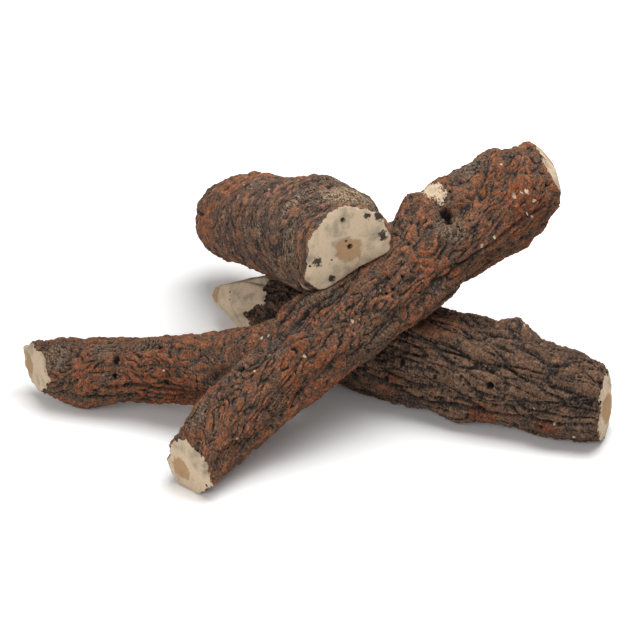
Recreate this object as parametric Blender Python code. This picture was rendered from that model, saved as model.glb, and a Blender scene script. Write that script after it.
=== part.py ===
"""Gas log set: three cast refractory logs that lie loose on a hearth and on each other.

The rear log lies on the hearth on its flat base. The front log is forked: its trunk stands on its near
end and leans up over the rear log, and its branch stands on a knot. The top log lies across both: its
near end has a saddle that fits over the trunk, and its far end hangs out behind the rear log.
Every casting holds steel reinforcing rods, each in a blind bore that a pin hole opens at a cut face.
The front and top logs are loose and lift straight off, so each has an empty at its seat, on the line
along which it lifts. X runs to the right, Y away from the viewer and Z up; the origin is under the
middle of the set, on the hearth.
"""

import math

import bmesh
import bpy
from mathutils import Matrix, Vector, noise
from mathutils.bvhtree import BVHTree

MM = 0.001
UP = Vector((0, 0, 1))

# Clearances and cuts
SEAT_GAP = 0.3 * MM
SEAT_DRAW = 4.5 * MM
SEAT_DRAW_STEPS = 3
REST_LIFT = 0.4 * MM
ROD_CLEARANCE = 0.3 * MM
END_OVERRUN = 26 * MM

# Drawn size of the empties that carry the logs
CARRIER_SIZE = 40 * MM

# How finely the logs are divided
RING_SPACING = 9.5 * MM
LOG_SIDES = 36
BRANCH_SIDES = 26
ROD_SIDES = 12
FEWEST_RINGS = 8
SHARP_ANGLE = math.radians(40)

# How closely a leaning log is brought to rest on another
HALVINGS = 24
STEEPEST_RISE_SHARE = 0.7

# Rear log, lying on the hearth
REAR_LENGTH = 355 * MM
REAR_RADIUS = 40 * MM
REAR_AXIS_HEIGHT = 29 * MM
REAR_HEADING = math.radians(-31.7)
REAR_CROSSING_SHARE = 0.594
REAR_TIP_RADIUS = 6.5 * MM
REAR_HEWN_LENGTH = 56 * MM
REAR_HEWN_FACETS = 6
REAR_HEWN_TURN_SHARE = 0.3

# Trunk of the front log, which leans over the rear log
TRUNK_LENGTH = 375 * MM
TRUNK_RADIUS = 38 * MM
TRUNK_FOOT_HEIGHT = 19 * MM
TRUNK_HEADING = math.radians(38.5)
TRUNK_CROSSING_SHARE = 0.682

# Branch of the front log
BRANCH_RADIUS = 27.5 * MM
BRANCH_REACH = 214 * MM
BRANCH_HEADING = math.radians(163.2)
BRANCH_END_HEIGHT = 27 * MM
BRANCH_ROOT_SHARE = 0.30
BRANCH_FOOT_SHARE = 0.83
BRANCH_FOOT_ANGLE = math.radians(283)
BRANCH_FOOT_WIDTH = 17 * MM
BRANCH_FOOT_SINK = 1.5 * MM

# Top log
TOP_LENGTH = 288 * MM
TOP_RADIUS = 42.5 * MM
TOP_LOWEST_FAR_HEIGHT = 27 * MM
TOP_HEADING = math.radians(-67.2)
TOP_SEAT_DEPTH = 9.5 * MM
TOP_SEAT_SHARE = 0.506
TOP_SEAT_ANGLE = math.radians(89)

# Reinforcing rods and the pin holes that open their bores
TRUNK_ROD_RADIUS = 4 * MM
BRANCH_ROD_RADIUS = 3 * MM
REAR_ROD_RADIUS = 4 * MM
TOP_ROD_RADIUS = 4 * MM
PIN_HOLE_RADIUS = 1.8 * MM

# Places of the rods' two ends, as shares of each log's length
TRUNK_ROD_SHARES = (0.93, 0.12)
BRANCH_ROD_SHARES = (0.94, 0.26)
REAR_ROD_SHARES = (0.93, 0.20)
TOP_ROD_SHARES = (0.94, 0.08)

# Centre lines and girths: (place, aside, above) as shares of the length, then share of the radius
REAR_SHARES = [
    (0.00, 0.000, 0.000, 0.60),
    (0.13, 0.004, 0.002, 0.75),
    (0.24, -0.015, 0.002, 0.80),
    (0.34, -0.033, 0.008, 0.88),
    (0.44, -0.044, 0.017, 0.96),
    (0.61, -0.046, 0.023, 1.00),
    (0.76, -0.030, 0.020, 0.95),
    (0.90, -0.016, 0.012, 0.83),
    (0.97, -0.008, 0.004, 0.72),
    (1.00, 0.000, 0.000, 0.62),
]
TRUNK_SHARES = [
    (0.00, 0.000, 0.000, 0.55),
    (0.06, 0.017, 0.002, 0.63),
    (0.12, 0.029, 0.003, 0.68),
    (0.24, 0.025, 0.011, 0.74),
    (0.37, 0.018, 0.018, 0.81),
    (0.51, 0.013, 0.025, 0.86),
    (0.64, 0.007, 0.028, 0.91),
    (0.75, -0.002, 0.024, 1.00),
    (0.90, -0.008, 0.013, 1.00),
    (0.96, -0.004, 0.006, 0.94),
    (1.00, 0.000, 0.000, 0.78),
]
BRANCH_SHARES = [
    (0.00, 0.000, 0.000, 0.98),
    (0.15, -0.036, -0.020, 1.06),
    (0.30, -0.051, -0.036, 1.02),
    (0.43, -0.054, -0.040, 0.92),
    (0.59, -0.058, -0.040, 0.90),
    (0.71, -0.040, -0.036, 0.90),
    (0.82, -0.030, -0.024, 0.87),
    (0.93, -0.013, -0.008, 0.78),
    (1.00, 0.000, 0.000, 0.65),
]
TOP_SHARES = [
    (0.00, 0.000, 0.000, 0.62),
    (0.05, 0.002, 0.002, 0.78),
    (0.12, 0.004, 0.006, 0.88),
    (0.24, 0.005, 0.010, 0.92),
    (0.48, 0.003, 0.012, 0.95),
    (0.74, 0.000, 0.009, 1.00),
    (0.91, 0.000, 0.002, 0.97),
    (1.00, 0.000, 0.000, 0.74),
]

# Bark: slow swellings, and furrows that run along the grain
SWELL_SIZE = 34 * MM
SWELL_HEIGHT = 3.2 * MM
FURROW_WIDTH = 9 * MM
FURROW_LENGTH = 46 * MM
TRUNK_FURROW_DEPTH = 1.8 * MM
BRANCH_FURROW_DEPTH = 1.5 * MM
REAR_FURROW_DEPTH = 2.4 * MM
TOP_FURROW_DEPTH = 1.2 * MM

# Main furrows, which wind along a log side by side and fade out towards its underside
MAIN_FURROW_WIDTH = 4.6 * MM
MAIN_FURROW_WINDING = 70 * MM
MAIN_FURROW_SWING_SHARE = 0.75
MAIN_FURROW_LOWEST_SHARE = 0.85
MAIN_FURROW_FADE_SHARE = 0.35
TRUNK_MAIN_FURROWS = 8
BRANCH_MAIN_FURROWS = 6
REAR_MAIN_FURROWS = 10
TRUNK_MAIN_DEPTH = 4.2 * MM
BRANCH_MAIN_DEPTH = 3.2 * MM
REAR_MAIN_DEPTH = 4.8 * MM

# Width of the plain patch, without main furrows, on which another log rests
PLAIN_PATCH_WIDTH = 26 * MM

# Where each log samples the bark's noise
REAR_BARK_SEED = 3
TRUNK_BARK_SEED = 11
BRANCH_BARK_SEED = 23
TOP_BARK_SEED = 37

# Knots and hollows: (place as a share, angle round the log in degrees, width, height)
KNOT_WIDTH = 12 * MM
KNOT_HEIGHT = 5 * MM
TALL_KNOT_HEIGHT = 9 * MM
HOLLOW_DEPTH = 5 * MM
CHAMFER_WIDTH = 21 * MM
CHAMFER_DEPTH = 11 * MM
TRUNK_KNOTS = [
    (0.685, 62, KNOT_WIDTH, TALL_KNOT_HEIGHT),
    (0.752, 66, KNOT_WIDTH, KNOT_HEIGHT),
    (0.725, 112, KNOT_WIDTH, -HOLLOW_DEPTH),
    (0.885, 74, KNOT_WIDTH, KNOT_HEIGHT),
    (1.000, 222, CHAMFER_WIDTH, -CHAMFER_DEPTH),
]
REAR_KNOTS = [
    (0.780, 80, KNOT_WIDTH, TALL_KNOT_HEIGHT),
    (0.700, 80, KNOT_WIDTH, -HOLLOW_DEPTH),
    (0.705, 222, KNOT_WIDTH, KNOT_HEIGHT),
]
TOP_KNOTS = [
    (0.820, 84, KNOT_WIDTH, KNOT_HEIGHT),
    (0.560, 90, KNOT_WIDTH, -HOLLOW_DEPTH),
    (1.000, 216, KNOT_WIDTH, TALL_KNOT_HEIGHT),
]

# Directions that the cut faces look in: bearing from +X towards +Y, and rise, in degrees
TRUNK_NEAR_FACE = (231, -4)
TRUNK_FAR_FACE = (4, 30)
BRANCH_FACE = (210, 4)
REAR_FACE = (-20, 4)
TOP_NEAR_FACE = (291, 0)
TOP_FAR_FACE = (112, -14)

# Colours, as linear red, green and blue, then roughness
FRONT_BARK = ((0.155, 0.070, 0.042), 0.90)
REAR_BARK = ((0.075, 0.050, 0.038), 0.92)
TOP_BARK = ((0.115, 0.072, 0.050), 0.92)
ROD_STEEL = ((0.300, 0.290, 0.280), 0.45)


def clear_scene():
    """Remove whatever the file opened with."""
    for old in list(bpy.data.objects):
        bpy.data.objects.remove(old, do_unlink=True)


def facing(direction):
    """Unit vector for a bearing and a rise in degrees."""
    bearing, rise = (math.radians(angle) for angle in direction)
    flat = math.cos(rise)
    return Vector((flat * math.cos(bearing), flat * math.sin(bearing), math.sin(rise)))


def smooth_share(rows, place, column):
    """One column of a table of shares, on a smooth curve between its rows and held beyond them."""
    place = min(max(place, rows[0][0]), rows[-1][0])
    last = len(rows) - 1
    index = 0
    while index < last - 1 and rows[index + 1][0] < place:
        index += 1

    def slope(row):
        before, after = rows[max(row - 1, 0)], rows[min(row + 1, last)]
        return (after[column] - before[column]) / (after[0] - before[0])

    low, high = rows[index], rows[index + 1]
    step = high[0] - low[0]
    reach = (place - low[0]) / step
    rise = reach * reach * (3 - 2 * reach)
    start_pull = slope(index) * step * reach * (1 - reach) ** 2
    end_pull = slope(index + 1) * step * reach * reach * (reach - 1)
    return low[column] + (high[column] - low[column]) * rise + start_pull + end_pull


class LogShape:
    """A bent, swelling log in its own frame: X along its chord, Y to its left, Z above it."""

    def __init__(self, length, radius, shares, furrow_depth, knots, seed):
        self.length = length
        self.radius = radius
        self.shares = shares
        self.furrow_depth = furrow_depth
        self.knots = knots
        self.seed = seed
        self.main_furrows = 0
        self.main_depth = 0.0
        self.plain_share = None

    def furrowed(self, main_furrows, main_depth, plain_share=None):
        """Give the log its main furrows, which leave a plain patch on top at a share of the length."""
        self.main_furrows = main_furrows
        self.main_depth = main_depth
        self.plain_share = plain_share
        return self

    def centre(self, share):
        """Point of the centre line, which runs straight on beyond the chord's two ends."""
        aside = smooth_share(self.shares, share, 1) * self.length
        above = smooth_share(self.shares, share, 2) * self.length
        return Vector((share * self.length, aside, above))

    def girth(self, share):
        """Plain radius, before the bark is added."""
        return smooth_share(self.shares, share, 3) * self.radius

    def bark(self, share, angle):
        """Height of the bark above the plain radius."""
        along = share * self.length
        around = Vector((math.cos(angle), math.sin(angle), 0)) * self.radius
        place = Vector((along, around.x, around.y)) / SWELL_SIZE
        swell = noise.noise(place + Vector((self.seed, 0, 0))) * SWELL_HEIGHT
        across = around / FURROW_WIDTH
        grain = Vector((along / FURROW_LENGTH, across.x, across.y + self.seed))
        height = swell + noise.noise(grain) * self.furrow_depth
        for knot_share, knot_degrees, width, knot_height in self.knots:
            away = self.apart(share, angle, knot_share, math.radians(knot_degrees)) / width
            height += knot_height * math.exp(-(away**2))
        return height

    def apart(self, share, angle, other_share, other_angle):
        """Distance over the bark between two places."""
        turn = math.remainder(angle - other_angle, math.tau) * self.radius
        return math.hypot((share - other_share) * self.length, turn)

    def furrow(self, share, angle):
        """Depth of the main furrows: none underneath, on raised knots or on the plain patch."""
        lowness = (math.sin(angle) + MAIN_FURROW_LOWEST_SHARE) / MAIN_FURROW_FADE_SHARE
        depth = 0.0
        for number in range(self.main_furrows):
            place = Vector((self.seed, number + 0.5, share * self.length / MAIN_FURROW_WINDING))
            swing = noise.noise(place) * MAIN_FURROW_SWING_SHARE
            middle = math.tau * (number + swing) / self.main_furrows
            away = self.apart(share, angle, share, middle) / MAIN_FURROW_WIDTH
            depth = max(depth, self.main_depth * math.exp(-(away**2)))
        plain = [(knot[0], math.radians(knot[1]), knot[2]) for knot in self.knots if knot[3] > 0]
        if self.plain_share is not None:
            plain.append((self.plain_share, math.pi / 2, PLAIN_PATCH_WIDTH))
        for plain_share, plain_angle, width in plain:
            away = self.apart(share, angle, plain_share, plain_angle) / width
            depth *= 1 - math.exp(-(away**2))
        return depth * min(max(lowness, 0.0), 1.0)

    def mesh(self, sides, gap=0.0, with_furrows=True):
        """Closed loft of rings, with a flat end past each end of the chord."""
        rings = max(FEWEST_RINGS, round((self.length + 2 * END_OVERRUN) / RING_SPACING))
        reach = END_OVERRUN / self.length
        bm = bmesh.new()
        loops = []
        for ring in range(rings + 1):
            share = -reach + (1 + 2 * reach) * ring / rings
            centre = self.centre(share)
            step = self.centre(share + reach / rings) - self.centre(share - reach / rings)
            forward = step.normalized()
            aside = UP.cross(forward).normalized()
            above = forward.cross(aside)
            loop = []
            for side in range(sides):
                angle = math.tau * side / sides
                out = aside * math.cos(angle) + above * math.sin(angle)
                reach_out = self.girth(share) + self.bark(share, angle) + gap
                if with_furrows:
                    reach_out -= self.furrow(share, angle)
                loop.append(bm.verts.new(centre + out * reach_out))
            loops.append(loop)
        for near, far in zip(loops, loops[1:]):
            for side in range(sides):
                after = (side + 1) % sides
                bm.faces.new((near[side], near[after], far[after], far[side]))
        bm.faces.new(reversed(loops[0]))
        bm.faces.new(loops[-1])
        bmesh.ops.recalc_face_normals(bm, faces=bm.faces)
        return bm


def placing(start, end):
    """Matrix that carries a log's own frame to a chord between two points."""
    forward = (end - start).normalized()
    aside = UP.cross(forward).normalized()
    above = forward.cross(aside)
    turn = Matrix((forward, aside, above)).transposed()
    return Matrix.Translation(start) @ turn.to_4x4()


def heading_vector(heading, flat_length):
    """Level vector of a given length along a heading."""
    return Vector((math.cos(heading), math.sin(heading), 0)) * flat_length


def cut_flat(bm, point, normal):
    """Cut away what lies beyond a plane and close the cut with a flat face."""
    parts = bm.verts[:] + bm.edges[:] + bm.faces[:]
    bmesh.ops.bisect_plane(bm, geom=parts, plane_co=point, plane_no=normal, clear_outer=True)
    rim = [edge for edge in bm.edges if edge.is_boundary]
    bmesh.ops.holes_fill(bm, edges=rim, sides=0)


def collides(bm, tree):
    """True when a mesh cuts through another, given as a search tree."""
    return bool(BVHTree.FromBMesh(bm).overlap(tree))


def least_clear(is_clear, low, high):
    """Smallest value between two bounds at which a piece has come clear, found by halving."""
    for _ in range(HALVINGS):
        middle = (low + high) / 2
        if is_clear(middle):
            high = middle
        else:
            low = middle
    return high


def turned_bar(stops, start, end, sides):
    """Round bar along a line, given as (distance from the start, radius) stops."""
    bm = bmesh.new()
    loops = []
    for distance, radius in stops:
        loop = []
        for side in range(sides):
            angle = math.tau * side / sides
            loop.append(bm.verts.new((distance, radius * math.cos(angle), radius * math.sin(angle))))
        loops.append(loop)
    for near, far in zip(loops, loops[1:]):
        for side in range(sides):
            after = (side + 1) % sides
            bm.faces.new((near[side], near[after], far[after], far[side]))
    bm.faces.new(reversed(loops[0]))
    bm.faces.new(loops[-1])
    bmesh.ops.recalc_face_normals(bm, faces=bm.faces)
    bm.transform(placing(start, end))
    return bm


def make_material(name, finish, metallic=0.0):
    """Principled material of one colour and roughness."""
    colour, roughness = finish
    material = bpy.data.materials.new(name)
    material.use_nodes = True
    shader = material.node_tree.nodes["Principled BSDF"]
    shader.inputs["Base Color"].default_value = (*colour, 1.0)
    shader.inputs["Roughness"].default_value = roughness
    shader.inputs["Metallic"].default_value = metallic
    return material


def make_carrier(name, place, parent=None):
    """Empty that carries what moves together; its place is in its parent's frame."""
    carrier = bpy.data.objects.new(name, None)
    carrier.empty_display_size = CARRIER_SIZE
    bpy.context.scene.collection.objects.link(carrier)
    carrier.location = place
    carrier.parent = parent
    return carrier


def make_object(name, bm, frame, carrier, material=None):
    """Object from a bmesh in the set's frame; without a material it is a hidden cutter."""
    bmesh.ops.triangulate(bm, faces=bm.faces)
    bm.transform(frame.inverted())
    mesh = bpy.data.meshes.new(name)
    bm.to_mesh(mesh)
    bm.free()
    mesh.shade_smooth()
    mesh.set_sharp_from_angle(angle=SHARP_ANGLE)
    piece = bpy.data.objects.new(name, mesh)
    bpy.context.scene.collection.objects.link(piece)
    piece.parent = carrier
    seat = carrier.location if carrier.parent else Vector()
    piece.matrix_basis = Matrix.Translation(-seat) @ frame
    if material:
        mesh.materials.append(material)
    else:
        piece.hide_render = True
        piece.display_type = "WIRE"
    return piece


def add_boolean(piece, operation, cutter):
    """Join or cut a piece with a hidden cutter."""
    modifier = piece.modifiers.new(cutter.name, "BOOLEAN")
    modifier.operation = operation
    modifier.solver = "EXACT"
    modifier.object = cutter


class Placed:
    """A log shape with its place in the set."""

    def __init__(self, shape, start, end):
        self.shape = shape
        self.start = start
        self.end = end
        self.matrix = placing(start, end)

    def centre(self, share):
        """Point of the centre line, in the set's frame."""
        return self.matrix @ self.shape.centre(share)

    def mesh(self, sides, gap=0.0, with_furrows=True):
        """Uncut mesh in the set's frame, thicker all round by a gap."""
        bm = self.shape.mesh(sides, gap, with_furrows)
        bm.transform(self.matrix)
        return bm


def place_rear():
    """Rear log: it lies level and crosses under the trunk at the plan's origin."""
    bark = (REAR_FURROW_DEPTH, REAR_KNOTS, REAR_BARK_SEED)
    shape = LogShape(REAR_LENGTH, REAR_RADIUS, REAR_SHARES, *bark)
    shape.furrowed(REAR_MAIN_FURROWS, REAR_MAIN_DEPTH, REAR_CROSSING_SHARE)
    whole = heading_vector(REAR_HEADING, REAR_LENGTH)
    start = -whole * REAR_CROSSING_SHARE
    start.z = REAR_AXIS_HEIGHT
    return Placed(shape, start, start + whole)


def place_trunk(rear_tree):
    """Trunk: it stands on its near end and leans up until it just clears the rear log."""
    bark = (TRUNK_FURROW_DEPTH, TRUNK_KNOTS, TRUNK_BARK_SEED)
    shape = LogShape(TRUNK_LENGTH, TRUNK_RADIUS, TRUNK_SHARES, *bark)
    shape.furrowed(TRUNK_MAIN_FURROWS, TRUNK_MAIN_DEPTH)
    plain = shape.mesh(LOG_SIDES)

    def leaning(rise):
        flat = math.sqrt(TRUNK_LENGTH**2 - rise**2)
        whole = heading_vector(TRUNK_HEADING, flat)
        start = -whole * TRUNK_CROSSING_SHARE
        start.z = TRUNK_FOOT_HEIGHT
        return Placed(shape, start, start + whole + UP * rise)

    def is_clear(rise):
        bm = plain.copy()
        bm.transform(leaning(rise).matrix)
        clear = not collides(bm, rear_tree)
        bm.free()
        return clear

    rise = least_clear(is_clear, 0, TRUNK_LENGTH * STEEPEST_RISE_SHARE)
    plain.free()
    return leaning(rise + REST_LIFT / TRUNK_CROSSING_SHARE)


def place_branch(trunk):
    """Branch: from the trunk's middle line out to its own free end, just above the hearth."""
    root = trunk.centre(BRANCH_ROOT_SHARE)
    end = root + heading_vector(BRANCH_HEADING, BRANCH_REACH)
    end.z = BRANCH_END_HEIGHT
    length = (end - root).length
    bark = (BRANCH_FURROW_DEPTH, [], BRANCH_BARK_SEED)
    plain = LogShape(length, BRANCH_RADIUS, BRANCH_SHARES, *bark)
    foot_height = (placing(root, end) @ plain.centre(BRANCH_FOOT_SHARE)).z
    foot = foot_height + BRANCH_FOOT_SINK - plain.girth(BRANCH_FOOT_SHARE)
    knots = [(BRANCH_FOOT_SHARE, math.degrees(BRANCH_FOOT_ANGLE), BRANCH_FOOT_WIDTH, foot)]
    bark = (BRANCH_FURROW_DEPTH, knots, BRANCH_BARK_SEED)
    shape = LogShape(length, BRANCH_RADIUS, BRANCH_SHARES, *bark)
    shape.furrowed(BRANCH_MAIN_FURROWS, BRANCH_MAIN_DEPTH)
    return Placed(shape, root, end)


def place_top(trunk, rear_tree):
    """Top log: its near end sits on the trunk; its far end drops until it just clears the rear log."""
    bark = (TOP_FURROW_DEPTH, TOP_KNOTS, TOP_BARK_SEED)
    shape = LogShape(TOP_LENGTH, TOP_RADIUS, TOP_SHARES, *bark)
    plain = shape.mesh(LOG_SIDES)
    reach = trunk.shape.girth(TOP_SEAT_SHARE) + shape.girth(1) - TOP_SEAT_DEPTH
    near = trunk.centre(TOP_SEAT_SHARE) + seat_direction(trunk) * reach

    def leaning(far_height):
        rise = near.z - far_height
        far = near - heading_vector(TOP_HEADING, math.sqrt(TOP_LENGTH**2 - rise**2))
        far.z = far_height
        return Placed(shape, far, near)

    def is_clear(far_height):
        bm = plain.copy()
        bm.transform(leaning(far_height).matrix)
        clear = not collides(bm, rear_tree)
        bm.free()
        return clear

    far_height = TOP_LOWEST_FAR_HEIGHT
    if not is_clear(far_height):
        far_height = least_clear(is_clear, far_height, near.z) + REST_LIFT
    plain.free()
    return leaning(far_height)


def seat_direction(trunk):
    """Direction from the trunk's middle to the top log's, square to the trunk."""
    turn = trunk.matrix.to_3x3()
    return turn @ Vector((0, math.cos(TOP_SEAT_ANGLE), math.sin(TOP_SEAT_ANGLE)))


def hew_tip(bm, rear):
    """Axe-cut end of the rear log: flat facets that run to a small blunt tip."""
    shape = rear.shape
    turn = rear.matrix.to_3x3()
    tip = rear.start
    ring = rear.centre(REAR_HEWN_LENGTH / shape.length)
    ring_radius = shape.girth(REAR_HEWN_LENGTH / shape.length)
    slope = math.atan2(ring_radius - REAR_TIP_RADIUS, REAR_HEWN_LENGTH)
    back = (tip - ring).normalized()
    for facet in range(REAR_HEWN_FACETS):
        angle = math.tau * (facet + REAR_HEWN_TURN_SHARE) / REAR_HEWN_FACETS
        out = turn @ Vector((0, math.cos(angle), math.sin(angle)))
        normal = out * math.cos(slope) + back * math.sin(slope)
        cut_flat(bm, tip + out * REAR_TIP_RADIUS, normal)
    cut_flat(bm, tip, back)


def make_rear(rear, carrier, material):
    """Rear casting: hewn tip, sawn right end and flat base."""
    bm = rear.mesh(LOG_SIDES)
    hew_tip(bm, rear)
    cut_flat(bm, rear.end, facing(REAR_FACE))
    cut_flat(bm, Vector(), -UP)
    return make_object("rear_log", bm, rear.matrix, carrier, material)


def make_front(trunk, branch, carrier, material):
    """Front casting: trunk and branch joined at the fork, with flat feet on the hearth."""
    trunk_bm = trunk.mesh(LOG_SIDES)
    cut_flat(trunk_bm, trunk.start, facing(TRUNK_NEAR_FACE))
    cut_flat(trunk_bm, trunk.end, facing(TRUNK_FAR_FACE))
    cut_flat(trunk_bm, Vector(), -UP)
    branch_bm = branch.mesh(BRANCH_SIDES)
    cut_flat(branch_bm, branch.start, -(branch.end - branch.start).normalized())
    cut_flat(branch_bm, branch.end, facing(BRANCH_FACE))
    cut_flat(branch_bm, Vector(), -UP)
    log = make_object("forked_front_log", trunk_bm, trunk.matrix, carrier, material)
    add_boolean(log, "UNION", make_object("branch_shape", branch_bm, branch.matrix, carrier))
    return log


def make_top(top, trunk, carrier, material):
    """Top casting: sawn ends, and a saddle that fits over the trunk and draws straight up off it."""
    bm = top.mesh(LOG_SIDES)
    cut_flat(bm, top.end, facing(TOP_NEAR_FACE))
    cut_flat(bm, top.start, facing(TOP_FAR_FACE))
    cut_flat(bm, Vector(), -UP)
    log = make_object("top_log", bm, top.matrix, carrier, material)
    for step in range(SEAT_DRAW_STEPS + 1):
        relief = trunk.mesh(LOG_SIDES, SEAT_GAP, with_furrows=False)
        relief.transform(Matrix.Translation(-UP * SEAT_DRAW * step / SEAT_DRAW_STEPS))
        cutter = make_object(f"trunk_relief_{step}", relief, trunk.matrix, carrier)
        add_boolean(log, "DIFFERENCE", cutter)
    return log


def make_rod(name, casting, log, end_shares, radius, material):
    """Reinforcing rod, and the blind bore and pin hole that it leaves in its casting."""
    first, last = (log.centre(share) for share in end_shares)
    length = (last - first).length
    hole = (log.centre(1) - log.centre(end_shares[0])).length + END_OVERRUN
    bore = radius + ROD_CLEARANCE
    stops = [(-hole, PIN_HOLE_RADIUS), (-ROD_CLEARANCE, PIN_HOLE_RADIUS)]
    stops += [(-ROD_CLEARANCE, bore), (length + ROD_CLEARANCE, bore)]
    frame = placing(first, last)
    carrier = casting.parent
    cutter = turned_bar(stops, first, last, ROD_SIDES)
    add_boolean(casting, "DIFFERENCE", make_object(name + "_bore", cutter, frame, carrier))
    bar = turned_bar([(0, radius), (length, radius)], first, last, ROD_SIDES)
    return make_object(name, bar, frame, carrier, material)


def centre_on_hearth(whole_set, pieces):
    """Move the set so that the origin lies under the middle of its box, on the hearth."""
    bpy.context.view_layer.update()
    graph = bpy.context.evaluated_depsgraph_get()
    corners = [
        piece.evaluated_get(graph).matrix_world @ vertex.co
        for piece in pieces
        for vertex in piece.evaluated_get(graph).data.vertices
    ]
    low = Vector(min(corner[axis] for corner in corners) for axis in range(3))
    high = Vector(max(corner[axis] for corner in corners) for axis in range(3))
    middle = (low + high) / 2
    whole_set.location = (-middle.x, -middle.y, -low.z)


def build():
    """Place the logs on each other, then make each casting and its rods."""
    clear_scene()
    rear = place_rear()
    rear_bm = rear.mesh(LOG_SIDES)
    rear_tree = BVHTree.FromBMesh(rear_bm)
    rear_bm.free()
    trunk = place_trunk(rear_tree)
    branch = place_branch(trunk)
    top = place_top(trunk, rear_tree)

    whole_set = make_carrier("log_set", Vector())
    front_lift = make_carrier("front_log_lift", trunk.centre(TRUNK_CROSSING_SHARE), whole_set)
    top_lift = make_carrier("top_log_lift", trunk.centre(TOP_SEAT_SHARE), whole_set)
    rear_log = make_rear(rear, whole_set, make_material("rear_bark", REAR_BARK))
    front_log = make_front(trunk, branch, front_lift, make_material("front_bark", FRONT_BARK))
    top_log = make_top(top, trunk, top_lift, make_material("top_bark", TOP_BARK))

    steel = make_material("rod_steel", ROD_STEEL, metallic=1.0)
    rods = [
        make_rod("trunk_rod", front_log, trunk, TRUNK_ROD_SHARES, TRUNK_ROD_RADIUS, steel),
        make_rod("branch_rod", front_log, branch, BRANCH_ROD_SHARES, BRANCH_ROD_RADIUS, steel),
        make_rod("rear_rod", rear_log, rear, REAR_ROD_SHARES, REAR_ROD_RADIUS, steel),
        make_rod("top_rod", top_log, top, TOP_ROD_SHARES, TOP_ROD_RADIUS, steel),
    ]
    centre_on_hearth(whole_set, [rear_log, front_log, top_log, *rods])


build()
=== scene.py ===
"""Looks of a gas log set: cast bark, bare cut faces, the rods inside and a pale stage."""

import math

import bmesh
import bpy
import numpy as np
from bpy.props import FloatProperty, FloatVectorProperty, IntProperty, PointerProperty
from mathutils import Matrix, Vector, noise
from mathutils.bvhtree import BVHTree
from mathutils.kdtree import KDTree


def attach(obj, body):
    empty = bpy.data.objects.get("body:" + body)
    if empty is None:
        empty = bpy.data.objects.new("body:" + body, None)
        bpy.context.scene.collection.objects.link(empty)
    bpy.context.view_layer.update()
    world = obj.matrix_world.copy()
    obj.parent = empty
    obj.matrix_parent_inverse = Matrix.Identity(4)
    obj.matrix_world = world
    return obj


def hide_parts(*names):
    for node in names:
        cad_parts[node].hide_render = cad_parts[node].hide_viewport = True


bl_info = {
    "name": "Gas Log Set",
    "version": (1, 0, 0),
    "blender": (4, 5, 0),
    "location": "View3D > Sidebar > Gas Log Set",
    "description": "Cast bark, cut faces and rods of a gas log set, on a pale stage",
    "category": "Object",
}

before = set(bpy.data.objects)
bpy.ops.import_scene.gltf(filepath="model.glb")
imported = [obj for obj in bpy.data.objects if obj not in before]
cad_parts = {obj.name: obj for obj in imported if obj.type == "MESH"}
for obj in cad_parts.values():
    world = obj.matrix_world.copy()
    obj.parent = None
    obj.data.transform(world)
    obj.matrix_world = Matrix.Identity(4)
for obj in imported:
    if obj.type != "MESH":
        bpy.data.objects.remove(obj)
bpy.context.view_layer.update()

MM = 0.001
UP = np.array((0.0, 0.0, 1.0))
WHITE = (1.0, 1.0, 1.0)
LOG_NODES = ("rear_log", "forked_front_log", "top_log")

# Where the branch's middle line leaves the trunk's, as a share of the trunk's length
BRANCH_ROOT_SHARE = 0.30

# Flat faces: their least areas, how flat they are, how far from one's middle counts as near it,
# and how level with it the skin lies that is part of it
LEAST_CUT_AREA = 700 * MM**2
LEAST_SEED_AREA = 15 * MM**2
FLAT_TOLERANCE = 0.1 * MM
SAME_DIRECTION = 0.9998
CUT_REACH_SHARE = 2.2
CUT_REACH_MORE = 6 * MM
LEVEL_DEPTH = 0.7 * MM
LEVEL_FACING = 0.75

# A flat face that looks down as straight as this is a log's base, and isn't a cut
FACE_DOWN = -0.99

# Middle lines: how far from the chord a limb's skin may lie, how skin that isn't its own is left
# out, the degree of the smooth fit, the fillet at the fork, and how much skin is the hewn tip
LIMB_REACH = 75 * MM
LIMB_TRIM_SHARE = 1.22
LIMB_TRIM_ROUNDS = 3
MIDDLE_DEGREE = 5
FORK_FILLET = 9 * MM
TIP_REACH = 16 * MM

# How far along their pattern the branch starts, and a second noise, so that they aren't alike
BRANCH_DRIFT = np.array((1.0, 0.0, 0.0))
NOISE_DRIFT = 1.0

# Skins: corners that are one, wall left round a closed bore, smoothing and the most triangles
MERGE_DISTANCE = 0.01 * MM
BORE_MARGIN = 1.2 * MM
FACET_ROUNDS = 14
CREST_ROUNDS = 14
HOLLOW_ROUNDS = 90
MOST_TRIANGLES = 196000

# How near a skin lies to the log that it sits on, how near to the hearth, and widths of fades
SEAT_NEARNESS = 0.9 * MM
SEAT_FADE = 7 * MM
HEARTH_NEARNESS = 3 * MM
RIM_FADE = 7 * MM
RIM_OVERLAP = 1 * MM
NEIGHBOUR_REACH = 14 * MM
ROOM_SHARE = 0.45

# Wear of the cut faces, and depths and widths of the marks
PLAIN_WEAR = 1.2 * MM
WEAR_WIDTH = 11 * MM
WEAR_BUMPS = 9 * MM
FACE_UNEVENNESS = 0.5 * MM
FACE_BUMPS = 8 * MM
CREASE_WIDTH = 2.0 * MM
CREASE_FADE = 0.05
PIN_DEPTH = 8 * MM
CHIP_DEPTH = 0.7 * MM
RING_STRETCH = 2.0
RING_SPACING = 4.6 * MM

# Bare hewn end of the rear log: its share of the length, and how its border slants
REAR_HEWN_SHARE = 0.158
HEWN_SLANT_START = math.radians(140)
HEWN_SLANT_TURN = math.radians(60)
HEWN_SLANT_SHARE = 0.28
HEWN_CRISPNESS = 8
HEWN_HEART = 8 * MM

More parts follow.
